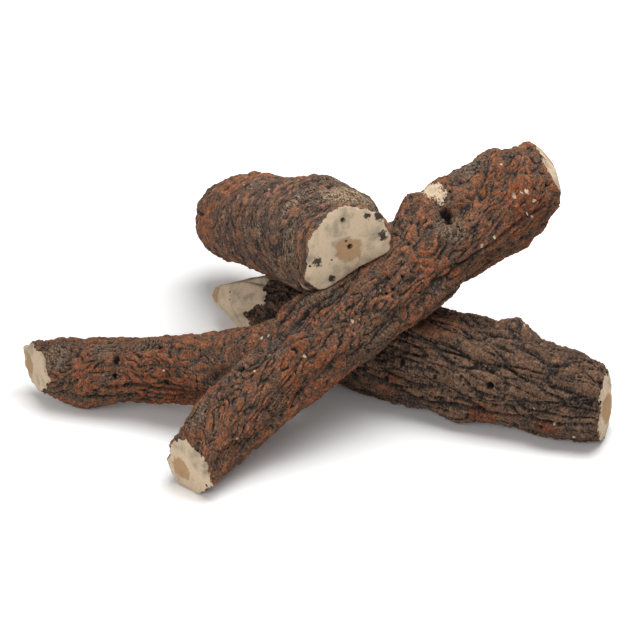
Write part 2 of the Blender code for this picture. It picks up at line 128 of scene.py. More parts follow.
# Fineness of the patterns in bark, paint and casting, in cells for each metre
PLATE_FINENESS = 30.0
BROAD_FINENESS = 42.0
CLOUD_FINENESS = 75.0
MIST_FINENESS = 130.0
RIM_FINENESS = 150.0
HOLE_FINENESS = 190.0
RUST_FINENESS = 210.0
FLECK_FINENESS = 210.0
SCALE_FINENESS = 260.0
STAIN_FINENESS = 300.0
CAST_FINENESS = 480.0
SPECK_FINENESS = 560.0
CRUMB_FINENESS = 640.0
SAND_FINENESS = 820.0
GRIT_HEIGHT = 0.55 * MM

# Darkest colours, as plain linear colours: near-black painted shade in the pits and creases and in the pin
# holes, and the black of real stains
PIT_SHADE = (0.006, 0.005, 0.006)
STAIN_BLACK = (0.022, 0.018, 0.016)
PIN_HOLE_SHADE = (0.01, 0.009, 0.008)

# Stage in metres: half the floor's width, the distances over which it pales to the camera, and
# each lamp's place, target and sides; and the camera's sensor in millimetres
FLOOR_REACH = 4.0
NEAR_FLOOR = (0.22, 0.6)
FAR_FLOOR = (0.6, 1.6)
HORIZON_LIFT = 0.5
KEY_LAMP = ((0.24, 0.04, 1.18), (0.0, 0.0, 0.05), (1.0, 1.0))
FRONT_LAMP = ((-0.85, -1.35, 0.8), (0.0, 0.0, 0.08), (1.8, 1.0))
SENSOR_WIDTH = 36.0

# Where nodes stand in the editor
NODE_WIDTH = 190
NODE_HEIGHT = 260
NODES_A_ROW = 12

# Marks on the limbs, in millimetres. Pits, chips and rings of bark round knots: share of the
# length, angle round it in degrees, radius. Tones have a tone too, from 1 for grey to -1 for
# richly brushed, and swells a height. Creases: share they start at, share they end at, angle,
# swing of that angle, depth.
TRUNK_MARKS = {
    "pits": [
        (0.725, 104, 4.2), (0.715, 116, 3.0), (0.560, 136, 1.3), (0.580, 138, 1.2),
        (0.515, 142, 1.2), (0.530, 143, 1.1), (0.200, 96, 3.0),
    ],
    "chips": [
        (0.745, 76, 8.0), (0.853, 141, 1.9), (0.871, 142, 1.4), (0.880, 144, 1.8),
        (0.884, 157, 1.5), (0.857, 166, 1.3), (0.863, 171, 1.1), (0.768, 166, 1.2),
        (0.735, 165, 1.4), (0.510, 134, 1.1), (0.308, 147, 1.4), (0.278, 74, 1.8),
        (0.290, 80, 1.3), (0.425, 146, 1.5), (0.440, 150, 1.1),
    ],
    "rings": [(0.640, 128, 15), (0.485, 150, 11)],
    "tones": [
        (0.700, 125, 15, 0.9), (0.200, 85, 20, 0.5), (0.270, 118, 8, 0.9), (0.080, 80, 16, 0.8),
        (0.450, 195, 24, 0.7), (0.620, 205, 22, 0.5), (0.850, 60, 22, 0.9), (0.420, 78, 20, 0.8),
        (0.500, 120, 14, 0.4), (0.860, 140, 34, -0.7), (0.620, 140, 16, -0.4),
        (0.300, 160, 30, -0.5),
    ],
    "swells": [
        (0.370, 45, 20, 8.0), (0.300, 60, 14, 4.0), (0.600, 52, 15, 5.0), (0.820, 48, 26, 2.0),
        (0.740, 225, 34, -5.0), (0.920, 228, 24, -3.0), (0.985, 60, 15, -4.0),
    ],
    "creases": [
        (0.31, 0.47, 62, 3, 3.4), (0.30, 0.45, 76, 3, 3.0), (0.32, 0.50, 92, 4, 2.6),
        (0.34, 0.47, 108, 4, 2.0), (0.33, 0.44, 52, 3, 2.4), (0.04, 0.80, 207, 4, 2.6),
        (0.60, 0.93, 172, 4, 1.8),
    ],
}
BRANCH_MARKS = {
    "pits": [
        (0.642, 41, 3.0), (0.649, 13, 1.7), (0.646, -6, 1.4), (0.734, -14, 1.5),
        (0.482, 75, 1.7),
    ],
    "chips": [(0.925, -62, 2.4), (0.860, -60, 1.8)],
    "tones": [
        (0.880, 62, 15, 0.9), (0.700, 72, 14, 0.6), (0.540, 78, 14, 0.5),
        (0.450, -15, 40, -0.7), (0.750, 10, 16, -0.5),
    ],
    "swells": [(0.080, 108, 16, 5.0), (0.955, 100, 9, -4.5), (0.860, 95, 10, 1.5)],
    "creases": [
        (0.06, 0.72, -4, 2, 1.8), (0.05, 0.60, -17, 2, 1.6), (0.08, 0.80, -30, 2, 2.4),
        (0.10, 0.66, -44, 2, 1.8), (0.12, 0.50, 12, 3, 1.2),
    ],
}
REAR_MARKS = {
    "pits": [
        (0.790, 160, 2.6), (0.800, 185, 2.2), (0.900, 200, 2.2), (0.590, 165, 2.4),
        (0.670, 170, 1.9), (0.555, 190, 1.9),
    ],
    "chips": [(0.965, 215, 2.0), (0.930, 192, 1.2)],
    "rings": [(0.594, 75, 16)],
    "tones": [
        (0.350, 150, 30, 0.8), (0.775, 205, 14, -1.4), (0.915, 204, 11, -1.1),
        (0.640, 110, 22, -0.5), (0.560, 190, 16, -0.5),
    ],
    "swells": [(0.775, 205, 13, 1.2), (0.915, 204, 10, 1.0), (0.790, 62, 13, 3.0)],
    "creases": [(0.55, 0.97, 196, 5, 2.4)],
}
TOP_MARKS = {
    "pits": [(0.300, 128, 2.2), (0.900, 190, 2.6), (0.860, 96, 2.2)],
    "chips": [(0.925, 184, 4.0), (0.940, 200, 2.5)],
    "tones": [
        (0.960, 92, 20, 1.5), (0.860, 80, 14, 1.3), (0.880, 122, 10, 1.0), (0.930, 150, 12, 0.8),
        (0.800, 180, 20, 1.1), (0.720, 150, 9, 1.1), (0.620, 165, 11, 0.9), (0.480, 120, 7, 0.9),
        (0.400, 165, 6, 1.0), (0.940, 205, 12, 0.9), (0.120, 150, 6, 0.9),
        (0.200, 165, 36, -1.3), (0.350, 100, 36, -1.3), (0.540, 185, 16, -0.7),
        (0.640, 70, 22, -1.1),
    ],
    "swells": [(0.200, 235, 26, -3.5)],
    "creases": [(0.02, 0.20, 158, 6, 2.2)],
}

# Sawn faces: direction; bulge, wear of the rim and lap of the bark's paint in millimetres; and
# painted heartwood: shares of the face's radius to the right and up, radius in millimetres
REAR_END = ((1, -0.3, 0), (4, 2.5, 1.5), (-0.2, 0.05, 12))
TRUNK_FOOT = ((-0.63, -0.78, 0), (0, 2.0, 0), (-0.3, -0.1, 9))
RAISED_END = ((0.86, 0.1, 0.5), (9, 4.0, 8), (0, 0, 11))
BRANCH_END = ((-0.86, -0.5, 0), (0, 1.5, 0), (-0.5, -0.1, 8))
TOP_FACE = ((0.36, -0.93, 0), (1.5, 2.0, 0), None)
TOP_FAR_END = ((-0.36, 0.9, -0.25), (3, 3.0, 2), (0, 0, 10))

# Smudges on the faces, and the top face's second pin hole: placed as the heartwood is
RAISED_SMUDGES = [(-0.45, 0.75, 8)]
TOP_FACE_SMUDGES = [
    (-0.72, -0.29, 3.6), (0.52, 0.66, 2.8), (0.92, 0.10, 4.0), (0.84, 0.60, 3.6),
    (-0.35, -0.80, 2.6),
]
UPPER_PIN = (-0.08, 0.67, 1.8)

# About the rod's pin hole in the top face: its radius, the heartwood and a small hole
ROD_PIN_RADIUS = 2.1 * MM
TOP_HEART_DROP = 2 * MM
TOP_HEART_RADIUS = 10 * MM
SMALL_PIN_LEFT = 3 * MM
SMALL_PIN_RISE = 5 * MM
SMALL_PIN_RADIUS = 0.9 * MM


def paint(red, green, blue):
    """Linear colour of a paint that is given as screen values from 0 to 255."""
    shares = [value / 255 for value in (red, green, blue)]
    return tuple(s / 12.92 if s <= 0.04045 else ((s + 0.055) / 1.055) ** 2.4 for s in shares)


def length(name, description, default):
    """Property for a length in metres."""
    return FloatProperty(
        name=name, description=description, default=default, min=0.0, precision=5, unit="LENGTH"
    )


def colour(name, description, screen):
    """Property for a paint's colour, which is given as screen values from 0 to 255."""
    default = paint(*screen)
    return FloatVectorProperty(
        name=name, description=description, default=default, min=0.0, max=1.0, subtype="COLOR"
    )


def share(name, description, default):
    """Property for a share from 0 to 1."""
    return FloatProperty(
        name=name, description=description, default=default, min=0.0, max=1.0, subtype="FACTOR"
    )


def number(name, description, default, unit="NONE"):
    """Property for a plain number, or for one with a unit."""
    return FloatProperty(name=name, description=description, default=default, unit=unit)


def whole(name, description, default):
    """Property for a whole number."""
    return IntProperty(name=name, description=description, default=default)


# Bark: kind of property, name, what it is, and its values on the front, rear and top logs
SKIN_ROWS = [
    (length, "Grid", "Spacing of the skin's mesh", 0.95 * MM, 0.9 * MM, 0.9 * MM),
    (whole, "Seed", "Picks another pattern of bark", 3, 8, 5),
]
PATTERN_ROWS = [
    (length, "Ridge width", "Spacing of the ridges round the log", 12 * MM, 16 * MM, 12 * MM),
    (length, "Ridge length", "Spacing of the ridges along the log", 30 * MM, 90 * MM, 12 * MM),
    (number, "Ridge wander", "How far the ridges wind about", 1.0, 0.8, 1.2),
    (number, "Ridge turns", "Ridges between the slow noise's lowest and highest", 7.0, 6.0, 2.0),
    (length, "Break along", "Spacing of the ridges' breaks along the log", 11 * MM, 16 * MM, 10 * MM),
    (length, "Break round", "Spacing of the ridges' breaks round the log", 6 * MM, 9 * MM, 10 * MM),
    (number, "Ridge twist", "Turn of the ridges round the log, in radians a metre", 8.0, -2.0, 0.0),
    (share, "Fine share", "Height of the fine ridges beside the main ones", 0.6, 0.7, 0.5),
    (share, "Plate share", "How much of the bark is broken into small plates", 0.3, 0.0, 0.0),
    (length, "Crack width", "Spacing of the long cracks round the log", 15 * MM, 11 * MM, 30 * MM),
    (length, "Crack length", "Spacing of the long cracks along the log", 34 * MM, 48 * MM, 60 * MM),
    (length, "Wrinkle along", "Spacing of the wrinkles along the log", 2.6 * MM, 2.1 * MM, 2.0 * MM),
    (length, "Wrinkle round", "Spacing of the wrinkles round the log", 2.4 * MM, 5.0 * MM, 3.2 * MM),
]
DEPTH_ROWS = [
    (length, "Proud", "How far the highest bark stands out", 2.6 * MM, 2.6 * MM, 2.2 * MM),
    (length, "Ridge depth", "Depth of the furrows between ridges", 1.8 * MM, 2.0 * MM, 0.8 * MM),
    (length, "Crack depth", "Depth of the long cracks", 1.2 * MM, 1.6 * MM, 0.3 * MM),
    (length, "Lump size", "Spacing of the lumps", 15 * MM, 17 * MM, 12 * MM),
    (length, "Lump height", "Height of the lumps", 1.4 * MM, 1.4 * MM, 2.3 * MM),
    (length, "Wrinkle depth", "Depth of the finest wrinkles", 0.7 * MM, 1.5 * MM, 0.7 * MM),
]
PAINT_ROWS = [
    (share, "Brushed share", "How much of the bark is brushed", 0.92, 0.62, 0.9),
    (share, "Dusty share", "How dusty the grey patches are", 0.25, 0.2, 0.55),
    (length, "Blotch size", "Size of the blotches the brush missed", 13 * MM, 18 * MM, 9 * MM),
    (share, "Blotch share", "How far the blotches hide the brushed paint", 0.75, 0.4, 1.0),
    (length, "Stroke along", "Size of paint strokes along the log", 1.6 * MM, 1.3 * MM, 1.1 * MM),
    (length, "Stroke round", "Size of paint strokes round the log", 1.4 * MM, 2.6 * MM, 2.2 * MM),
    (number, "Stroke strength", "How far strokes break the paint up", 1.0, 3.2, 1.8),
]
COLOUR_ROWS = [
    (colour, "Furrows", "Paint in the furrows", (46, 38, 34), (42, 36, 33), (52, 44, 42)),
    (colour, "Mist", "Blue grey paint in some furrows", (64, 61, 61), (60, 57, 56), (76, 70, 70)),
    (colour, "Ground", "First coat over the bark", (100, 80, 66), (82, 69, 61), (116, 92, 78)),
    (colour, "Brushed", "Paint brushed dry over the ridges", (152, 95, 66), (152, 114, 88), (172, 118, 88)),
    (colour, "Rust", "Paint of the richly brushed patches", (148, 84, 54), (158, 92, 60), (170, 110, 78)),
    (colour, "Dust", "Pale dust of the casting", (178, 152, 126), (160, 138, 114), (180, 154, 122)),
]

BARK_ROWS = SKIN_ROWS + PATTERN_ROWS + DEPTH_ROWS + PAINT_ROWS + COLOUR_ROWS

# Marks that the bark's paint reads, and colours of the bare casting
PAINT_MARKS = ["Ring", "Ring away", "Crest", "Hollow", "Dark", "Tone"]
CAST_COLOURS = ["Cream", "Shade", "Heart", "Smudge"]


def plain_name(name):
    """Name of a property or of an attribute, from the name of a socket."""
    return name.lower().replace(" ", "_")


def names_of(rows):
    """Names of the sockets that rows of bark settings feed."""
    return [row[1] for row in rows]


def bark_settings(name, text, column):
    """Settings of one log's bark, with a column of the rows as their defaults."""
    fields = {}
    for kind, title, description, *values in BARK_ROWS:
        fields[plain_name(title)] = kind(title, description, values[column])
    return type(name, (bpy.types.PropertyGroup,), {"__doc__": text, "__annotations__": fields})


FrontBark = bark_settings("FrontBark", "Bark of the front log: ridges that wind along the grain.", 0)
RearBark = bark_settings("RearBark", "Bark of the rear log: long flaky furrows, crinkled crosswise.", 1)
TopBark = bark_settings("TopBark", "Bark of the top log: a smoother skin with strokes round it.", 2)


class CastSettings(bpy.types.PropertyGroup):
    """Bare casting, heartwood and the rods."""

    cream: colour("Cream", "Bare casting on the cut faces", (224, 201, 171))
    shade: colour("Shade", "Darker patches on the cut faces", (166, 150, 130))
    heart: colour("Heart", "Painted heartwood", (184, 145, 106))
    smudge: colour("Smudge", "Overspray of bark paint on the cut faces", (84, 76, 72))
    steel: colour("Steel", "Scale on the rods", (120, 114, 110))


class StageSettings(bpy.types.PropertyGroup):
    """Floor, lamps and camera."""

    elevation: FloatProperty(
        name="Elevation",
        description="Camera's height above the horizon",
        default=math.radians(28),
        subtype="ANGLE",
    )
    distance: length("Distance", "Camera's distance from its target", 1.3)
    target: FloatVectorProperty(
        name="Target",
        description="Point that the camera looks at",
        default=(0.0069, -0.02375, 0.060),
        subtype="TRANSLATION",
    )
    lens: number("Lens", "Focal length for the camera's sensor", 93.15, "CAMERA")
    floor_light: share("Floor", "How pale the floor is to the light that it throws back", 0.92)
    floor_white: number("Floor white", "How pale the floor is to the camera", 1.25)
    floor_lift: share("Floor lift", "Light that the camera sees added to the floor", 0.02)
    far_lift: share("Far lift", "Light that the camera sees added to the floor far away", 0.5)
    key_power: number("Key lamp", "Power of the overhead lamp", 14.0, "POWER")
    front_power: number("Front lamp", "Power of the front lamp", 9.4, "POWER")
    sky_strength: number("Sky", "Strength of the light from all round", 0.2)


class LogSetSettings(bpy.types.PropertyGroup):
    """All sizes and colours of the set's looks."""

    front: PointerProperty(type=FrontBark)
    rear: PointerProperty(type=RearBark)
    top: PointerProperty(type=TopBark)
    cast: PointerProperty(type=CastSettings)
    stage: PointerProperty(type=StageSettings)


class Field:
    """Output socket of a node, which sums and products take like a number."""

    def __init__(self, wiring, socket):
        self.wiring = wiring
        self.socket = socket

    def __add__(self, other):
        return self.wiring.math("ADD", self, other)

    def __sub__(self, other):
        return self.wiring.math("SUBTRACT", self, other)

    def __rsub__(self, other):
        return self.wiring.math("SUBTRACT", other, self)

    def __mul__(self, other):
        return self.wiring.math("MULTIPLY", self, other)

    def __truediv__(self, other):
        return self.wiring.math("DIVIDE", self, other)


class Wiring:
    """Adds nodes to a tree one after another and joins their sockets."""

    def __init__(self, tree):
        self.tree = tree

    def feed(self, socket, value):
        """Join a socket to an output, or give it a plain value."""
        if isinstance(value, Field):
            self.tree.links.new(value.socket, socket)
        elif socket.type == "RGBA":
            socket.default_value = (*value[:3], 1.0)
        else:
            socket.default_value = value

    def fill(self, node, given):
        """Feed a node's inputs, each known by its identifier, its name or its number."""
        known = {socket.identifier: socket for socket in node.inputs}
        for name, value in given.items():
            self.feed(known[name] if name in known else node.inputs[name], value)

    def add(self, kind, given=None, **settings):
        """New node with its settings and inputs; gives its outputs by name and by identifier."""
        place = len(self.tree.nodes)
        node = self.tree.nodes.new(kind)
        node.location = (NODE_WIDTH * (place % NODES_A_ROW), -NODE_HEIGHT * (place // NODES_A_ROW))
        for name, value in settings.items():
            setattr(node, name, value)
        self.fill(node, given or {})
        outputs = {}
        for socket in node.outputs:
            outputs.setdefault(socket.name, Field(self, socket))
            outputs.setdefault(socket.identifier, Field(self, socket))
        return outputs

    def math(self, operation, *values, clamp=False):
        """Result of a Math node."""
        given = dict(enumerate(values))
        return self.add("ShaderNodeMath", given, operation=operation, use_clamp=clamp)["Value"]

    def vector(self, operation, *values):
        """Result of a Vector Math node on vectors."""
        given = dict(enumerate(values))
        return self.add("ShaderNodeVectorMath", given, operation=operation)["Vector"]

    def scaled(self, vector, factor):
        """Vector times a number."""
        given = {"Vector": vector, "Scale": factor}
        return self.add("ShaderNodeVectorMath", given, operation="SCALE")["Vector"]

    def stretched(self, place, spacing_along, spacing_round):
        """Log coordinates in cells that are longer along the grain than round it."""
        parts = self.add("ShaderNodeSeparateXYZ", {0: place})
        across = {1: parts["Y"] / spacing_round, 2: parts["Z"] / spacing_round}
        return self.add("ShaderNodeCombineXYZ", {0: parts["X"] / spacing_along, **across})["Vector"]

    def step(self, value, low, high, start=0.0, end=1.0):
        """Smooth step from one value to another while the input goes from low to high."""
        given = {"Value": value, "From Min": low, "From Max": high, "To Min": start, "To Max": end}
        return self.add("ShaderNodeMapRange", given, interpolation_type="SMOOTHSTEP")["Result"]

    def between(self, first, second, factor):
        """Number that goes from one to another with a factor."""
        return self.math("SUBTRACT", second, first) * factor + first

    def noise(self, place, scale=1.0, detail=2.0, roughness=0.5, output="Fac"):
        """Noise, as a value or as a colour."""
        given = {"Vector": place, "Scale": scale, "Detail": detail, "Roughness": roughness}
        return self.add("ShaderNodeTexNoise", given)[output]

    def cells(self, place, scale=1.0, feature="F1"):
        """Distance and colour of the cells that a Voronoi node makes."""
        return self.add("ShaderNodeTexVoronoi", {"Vector": place, "Scale": scale}, feature=feature)

    def wandering(self, place, amount):
        """Coordinates pushed about by a slow noise."""
        push = self.vector("SUBTRACT", self.noise(place, 0.55, 1.0, output="Color"), (0.5, 0.5, 0.5))
        return self.vector("ADD", place, self.scaled(push, amount))

    def ropes(self, cells, turns):
        """Share of winding rope-like ridges, which follow the contour lines of a slow noise."""
        return self.math("PINGPONG", self.noise(cells, 1.0, 1.0) * turns, 0.5) * 2.0

    def spots(self, place, fineness, size, softness, rarity):
        """Round spots in a few cells, each of its own size: 1 in a spot and 0 outside it."""
        cell = self.cells(place, fineness)
        parts = self.add("ShaderNodeSeparateColor", {0: cell["Color"]})
        spot = self.step(cell["Distance"] - parts["Green"] * size, softness, 0.1, 1.0, 0.0)
        return spot * self.step(parts["Red"], *rarity)

    def seen_rays(self):
        """1 for rays of the camera, of mirrors and of glass, and 0 for rays that light the object."""
        rays = self.add("ShaderNodeLightPath")
        clear = self.math("MAXIMUM", rays["Is Glossy Ray"], rays["Is Transmission Ray"])
        return self.math("MAXIMUM", rays["Is Camera Ray"], clear)

    def blend(self, factor, first, second, blend_type="MIX"):
        """Mix of two colours."""
        given = {"Factor_Float": factor, "A_Color": first, "B_Color": second}
        return self.add("ShaderNodeMix", given, data_type="RGBA", blend_type=blend_type)["Result_Color"]

    def dimmed(self, coat, factor):
        """Colour times a number."""
        return self.blend(1.0, coat, self.scaled(WHITE, factor), "MULTIPLY")

    def attribute(self, name, kind="Fac"):
        """Value or vector that a skin stores by name, in a material."""
        return self.add("ShaderNodeAttribute", attribute_name=name)[kind]

    def stored(self, name, data_type="FLOAT"):
        """Value or vector that a skin stores by name, in a geometry tree."""
        return self.add("GeometryNodeInputNamedAttribute", {"Name": name}, data_type=data_type)["Attribute"]


def node_points(name):
    """Corners of a node's mesh, one row each."""
    return corner_values(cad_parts[name].data, "co")


def corner_values(mesh, name):
    """Places or normals of a mesh's corners, one row each."""
    values = np.zeros(len(mesh.vertices) * 3)
    mesh.vertices.foreach_get(name, values)
    return values.reshape(-1, 3)


def unit(vectors):
    """Vectors brought to a length of one."""
    return vectors / np.maximum(np.linalg.norm(vectors, axis=-1, keepdims=True), 1e-12)


def eased(values):
    """Smooth step of values from 0 to 1."""
    values = np.clip(values, 0, 1)
    return values * values * (3 - 2 * values)


class Cut:
    """Sawn or hewn face of a casting: its plane, how it is worn and how it is painted."""

    def __init__(self, normal, middle, area):
        self.normal = normal
        self.middle = middle
        self.radius = math.sqrt(area / math.pi)
        self.reach = CUT_REACH_SHARE * self.radius + CUT_REACH_MORE
        self.across = unit(np.cross(UP, normal))
        self.upward = np.cross(normal, self.across)
        self.dome = 0.0
        self.wear = PLAIN_WEAR
        self.lap = 0.0
        self.hearts = []
        self.pins = []
        self.smudges = []

    def spot(self, right, above, size):
        """Spot on the face: shares of its radius to the right and up, radius in millimetres."""
        middle = self.middle + (self.across * right + self.upward * above) * self.radius
        return middle, size * MM

    def drill(self, rod, radius):
        """Pin hole where the middle line of a rod meets the face; gives its middle."""
        middle, axis = rod_line(rod)
        along = ((self.middle - middle) @ self.normal) / (axis @ self.normal)
        self.pins.append((middle + axis * along, radius))
        return middle + axis * along

    def depth(self, points):
        """How far points lie below the face, and which of them are near it."""
        near = np.linalg.norm(points - self.middle, axis=1) < self.reach
        return (self.middle - points) @ self.normal, near


def rod_line(rod):
    """Middle and direction of a rod."""
    points = node_points(rod)
    middle = (points.min(axis=0) + points.max(axis=0)) / 2
    return middle, np.linalg.svd(points - points.mean(axis=0))[2][0]


def flat_cuts(mesh):
    """Flat faces of a casting, largest first."""
    mesh.calc_loop_triangles()
    triangles = np.array([triangle.vertices for triangle in mesh.loop_triangles])
    corners = corner_values(mesh, "co")[triangles]
    cross = np.cross(corners[:, 1] - corners[:, 0], corners[:, 2] - corners[:, 0])
    areas = np.linalg.norm(cross, axis=1) / 2
    normals = unit(cross)
    middles = corners.mean(axis=1)
    left = np.ones(len(areas), bool)
    found = []
    for seed in np.argsort(-areas):
        if areas[seed] < LEAST_SEED_AREA:
            break
        if not left[seed]:
            continue
        level = np.abs((middles - middles[seed]) @ normals[seed]) < FLAT_TOLERANCE
        same = left & level & (normals @ normals[seed] > SAME_DIRECTION)
        left &= ~same
        area = areas[same].sum()
        if area > LEAST_CUT_AREA:
            middle = (middles[same] * areas[same, None]).sum(axis=0) / area
            found.append(Cut(normals[seed], middle, area))
    return sorted(found, key=lambda cut: -cut.radius)


def sawn(cuts, direction, wear, heart):
    """The cut face that looks most nearly in a direction, with its wear and heartwood set."""
    face = max(cuts, key=lambda cut: cut.normal @ unit(np.array(direction, float)))
    face.dome, face.wear, face.lap = (size * MM for size in wear)
    if heart:
        face.hearts.append(face.spot(*heart))
    return face


class Limb:
    """One limb of a log, and log coordinates on it: along it, round it and out from its middle."""

    def __init__(self, start, end, skin, marks):
        self.start = start
        self.length = np.linalg.norm(end - start)
        self.marks = marks
        forward = unit(end - start)
        aside = unit(np.cross(UP, forward))
        self.axes = np.array((forward, aside, np.cross(forward, aside)))
        local = (skin - start) @ self.axes.T
        along = local[:, 0] / self.length
        out = np.hypot(local[:, 1], local[:, 2])
        near = (along > 0) & (along < 1) & (out < LIMB_REACH)
        for _ in range(LIMB_TRIM_ROUNDS):
            self.middle = [np.polyfit(along[near], local[near, k], MIDDLE_DEGREE) for k in (1, 2)]
            out = np.hypot(*(local[:, k] - np.polyval(self.middle[k - 1], along) for k in (1, 2)))
            self.girth = np.polyfit(along[near], out[near], MIDDLE_DEGREE)
            near &= out < LIMB_TRIM_SHARE * np.polyval(self.girth, along)
        self.radius = out[near].mean()
        self.bare_share = 0.0

    def offsets(self, points):
        """Place along the chord, and how far points lie aside of the middle line and above it."""
        local = (points - self.start) @ self.axes.T
        along = np.clip(local[:, 0] / self.length, 0, 1)
        aside, above = (local[:, k] - np.polyval(self.middle[k - 1], along) for k in (1, 2))
        return local[:, 0], aside, above

    def measure(self, points):
        """Share of the length, angle, distance out and outward direction of points."""
        along, aside, above = self.offsets(points)
        out = np.maximum(np.hypot(aside, above), 1e-9)
        outward = (aside / out)[:, None] * self.axes[1] + (above / out)[:, None] * self.axes[2]
        return along / self.length, np.arctan2(above, aside), out, outward

    def beyond(self, points):
        """How far points lie outside the limb's plain girth."""
        along, _, out, _ = self.measure(points)
        past = np.abs(along - np.clip(along, 0, 1)) * self.length
        return out - np.polyval(self.girth, np.clip(along, 0, 1)) + past

    def grain(self, points):
        """Log coordinates in metres: along the limb, aside of its middle line and above it."""
        return np.column_stack(self.offsets(points))

    def apart(self, points, mark, stretch=1.0):
        """Distance over the skin from a mark's share and angle, less along a stretched one."""
        along, angle, _, _ = self.measure(points)
        turn = (angle - math.radians(mark[1]) + math.pi) % math.tau - math.pi
        return np.hypot((along - mark[0]) * self.length / stretch, turn * self.radius)

    def spots(self, kind, points, widening=1.0):
        """Each mark of a kind, and how far points lie from it in shares of its radius."""
        for mark in self.marks.get(kind, ()):
            yield mark, self.apart(points, mark) / (widening * (mark[2] * MM))

    def bare_depth(self, points):
        """How far points lie inside the bare hewn end, whose border slants."""
        along, angle, _, _ = self.measure(points)
        low = eased((angle % math.tau - HEWN_SLANT_START) / HEWN_SLANT_TURN)
        depth = ((1 - HEWN_SLANT_SHARE * low) * self.bare_share - along) * self.length
        return depth if self.bare_share else np.full(len(points), -self.length)

    def groove(self, points, crease):
        """Depth share of a long crease: 1 along its line and 0 outside it."""
        start, end, angle, swing, _ = crease
        along, turn, _, _ = self.measure(points)
        wave = np.sin(math.tau * 1.7 * along + angle) + 0.3 * np.sin(math.tau * 6 * along + 2 * angle)
        line = np.radians(angle + swing * wave)
        away = np.abs((turn - line + math.pi) % math.tau - math.pi) * self.radius
        ends = eased((along - start) / CREASE_FADE) * eased((end - along) / CREASE_FADE)
        return np.clip(1 - away / CREASE_WIDTH, 0, 1) * ends


def plain_copy(node, rods):
    """Closed copy of a casting without the bores of its rods."""
    bm = bmesh.new()
    bm.from_mesh(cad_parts[node].data)
    bmesh.ops.remove_doubles(bm, verts=bm.verts, dist=MERGE_DISTANCE)
    for rod in rods:
        middle, axis = rod_line(rod)
        points = node_points(rod)
        reach = np.linalg.norm(np.cross(points - middle, axis), axis=1).max() + BORE_MARGIN
        centre, line = Vector(middle), Vector(axis)
        inside = {v for v in bm.verts if (v.co - centre).cross(line).length < reach}
        bore = [face for face in bm.faces if all(v in inside for v in face.verts)]
        bmesh.ops.delete(bm, geom=bore, context="FACES")
    loose = [v for v in bm.verts if not v.link_faces]
    bmesh.ops.delete(bm, geom=loose, context="VERTS")
    rims = [edge for edge in bm.edges if edge.is_boundary]
    bmesh.ops.holes_fill(bm, edges=rims, sides=0)
    bmesh.ops.triangulate(bm, faces=bm.faces)
    mesh = bpy.data.meshes.new(node + "_plain")
    bm.to_mesh(mesh)
    bm.free()
    return mesh


def applied(piece):
    """Mesh of a piece with its modifiers, which are then removed."""
    graph = bpy.context.evaluated_depsgraph_get()
    mesh = bpy.data.meshes.new_from_object(
        piece.evaluated_get(graph), preserve_all_data_layers=True, depsgraph=graph
    )
    piece.modifiers.clear()
    return mesh


def linked(name, data):
    """New object in the scene."""
    piece = bpy.data.objects.new(name, data)
    bpy.context.scene.collection.objects.link(piece)
    return piece


def fine_skin(name, mesh, grid, pins):
    """Object with an even, fine mesh of the same shape, finer still about pin holes."""
    piece = linked(name, mesh)
    remesh = piece.modifiers.new("fine_grid", "REMESH")
    remesh.mode = "VOXEL"
    remesh.voxel_size = grid * 1
    piece.data = applied(piece)
    bm = bmesh.new()
    bm.from_mesh(piece.data)
    for centre, radius in pins:
        middle = Vector(centre)
        near = {v for v in bm.verts if (v.co - middle).length < 2 * radius + grid}
        edges = [edge for edge in bm.edges if all(v in near for v in edge.verts)]
        bmesh.ops.subdivide_edges(bm, edges=edges, cuts=2, use_grid_fill=True)
    bm.to_mesh(piece.data)
    bm.free()
    return piece


def mesh_edges(mesh):
    """Pairs of corners that an edge joins."""
    pairs = np.zeros(len(mesh.edges) * 2, np.int64)
    mesh.edges.foreach_get("vertices", pairs)
    return pairs.reshape(-1, 2)


def smoothed(values, edges, rounds, held=None):
    """Values averaged with their neighbours' again and again, apart from those that are held."""
    count = np.maximum(np.bincount(edges.ravel(), minlength=len(values)), 1)[:, None]
    for _ in range(rounds):
        sums = [
            np.bincount(edges[:, 0], values[edges[:, 1], k], minlength=len(values))
            + np.bincount(edges[:, 1], values[edges[:, 0], k], minlength=len(values))
            for k in range(values.shape[1])
        ]
        fresh = (values + np.column_stack(sums) / count) / 2
        values = fresh if held is None else np.where(held[:, None], values, fresh)
    return values


def store(mesh, **named):
    """Numbers or vectors on the corners of a mesh, under their names."""
    for name, values in named.items():
        kind, field = ("FLOAT", "value") if values.ndim == 1 else ("FLOAT_VECTOR", "vector")
        attribute = mesh.attributes.new(name, kind, "POINT")
        attribute.data.foreach_set(field, values.astype(np.float32).ravel())


def nearest_distance(points, targets):
    """Distance from each point to the nearest of some others."""
    tree = KDTree(len(targets))
    for index, target in enumerate(targets):
        tree.insert(target, index)
    tree.balance()
    return np.array([tree.find(point)[2] for point in points])


def wobble(points, size):
    """Slow noise about zero at each point, with bumps of a size."""
    return np.array([noise.noise(Vector(point / size)) for point in points])


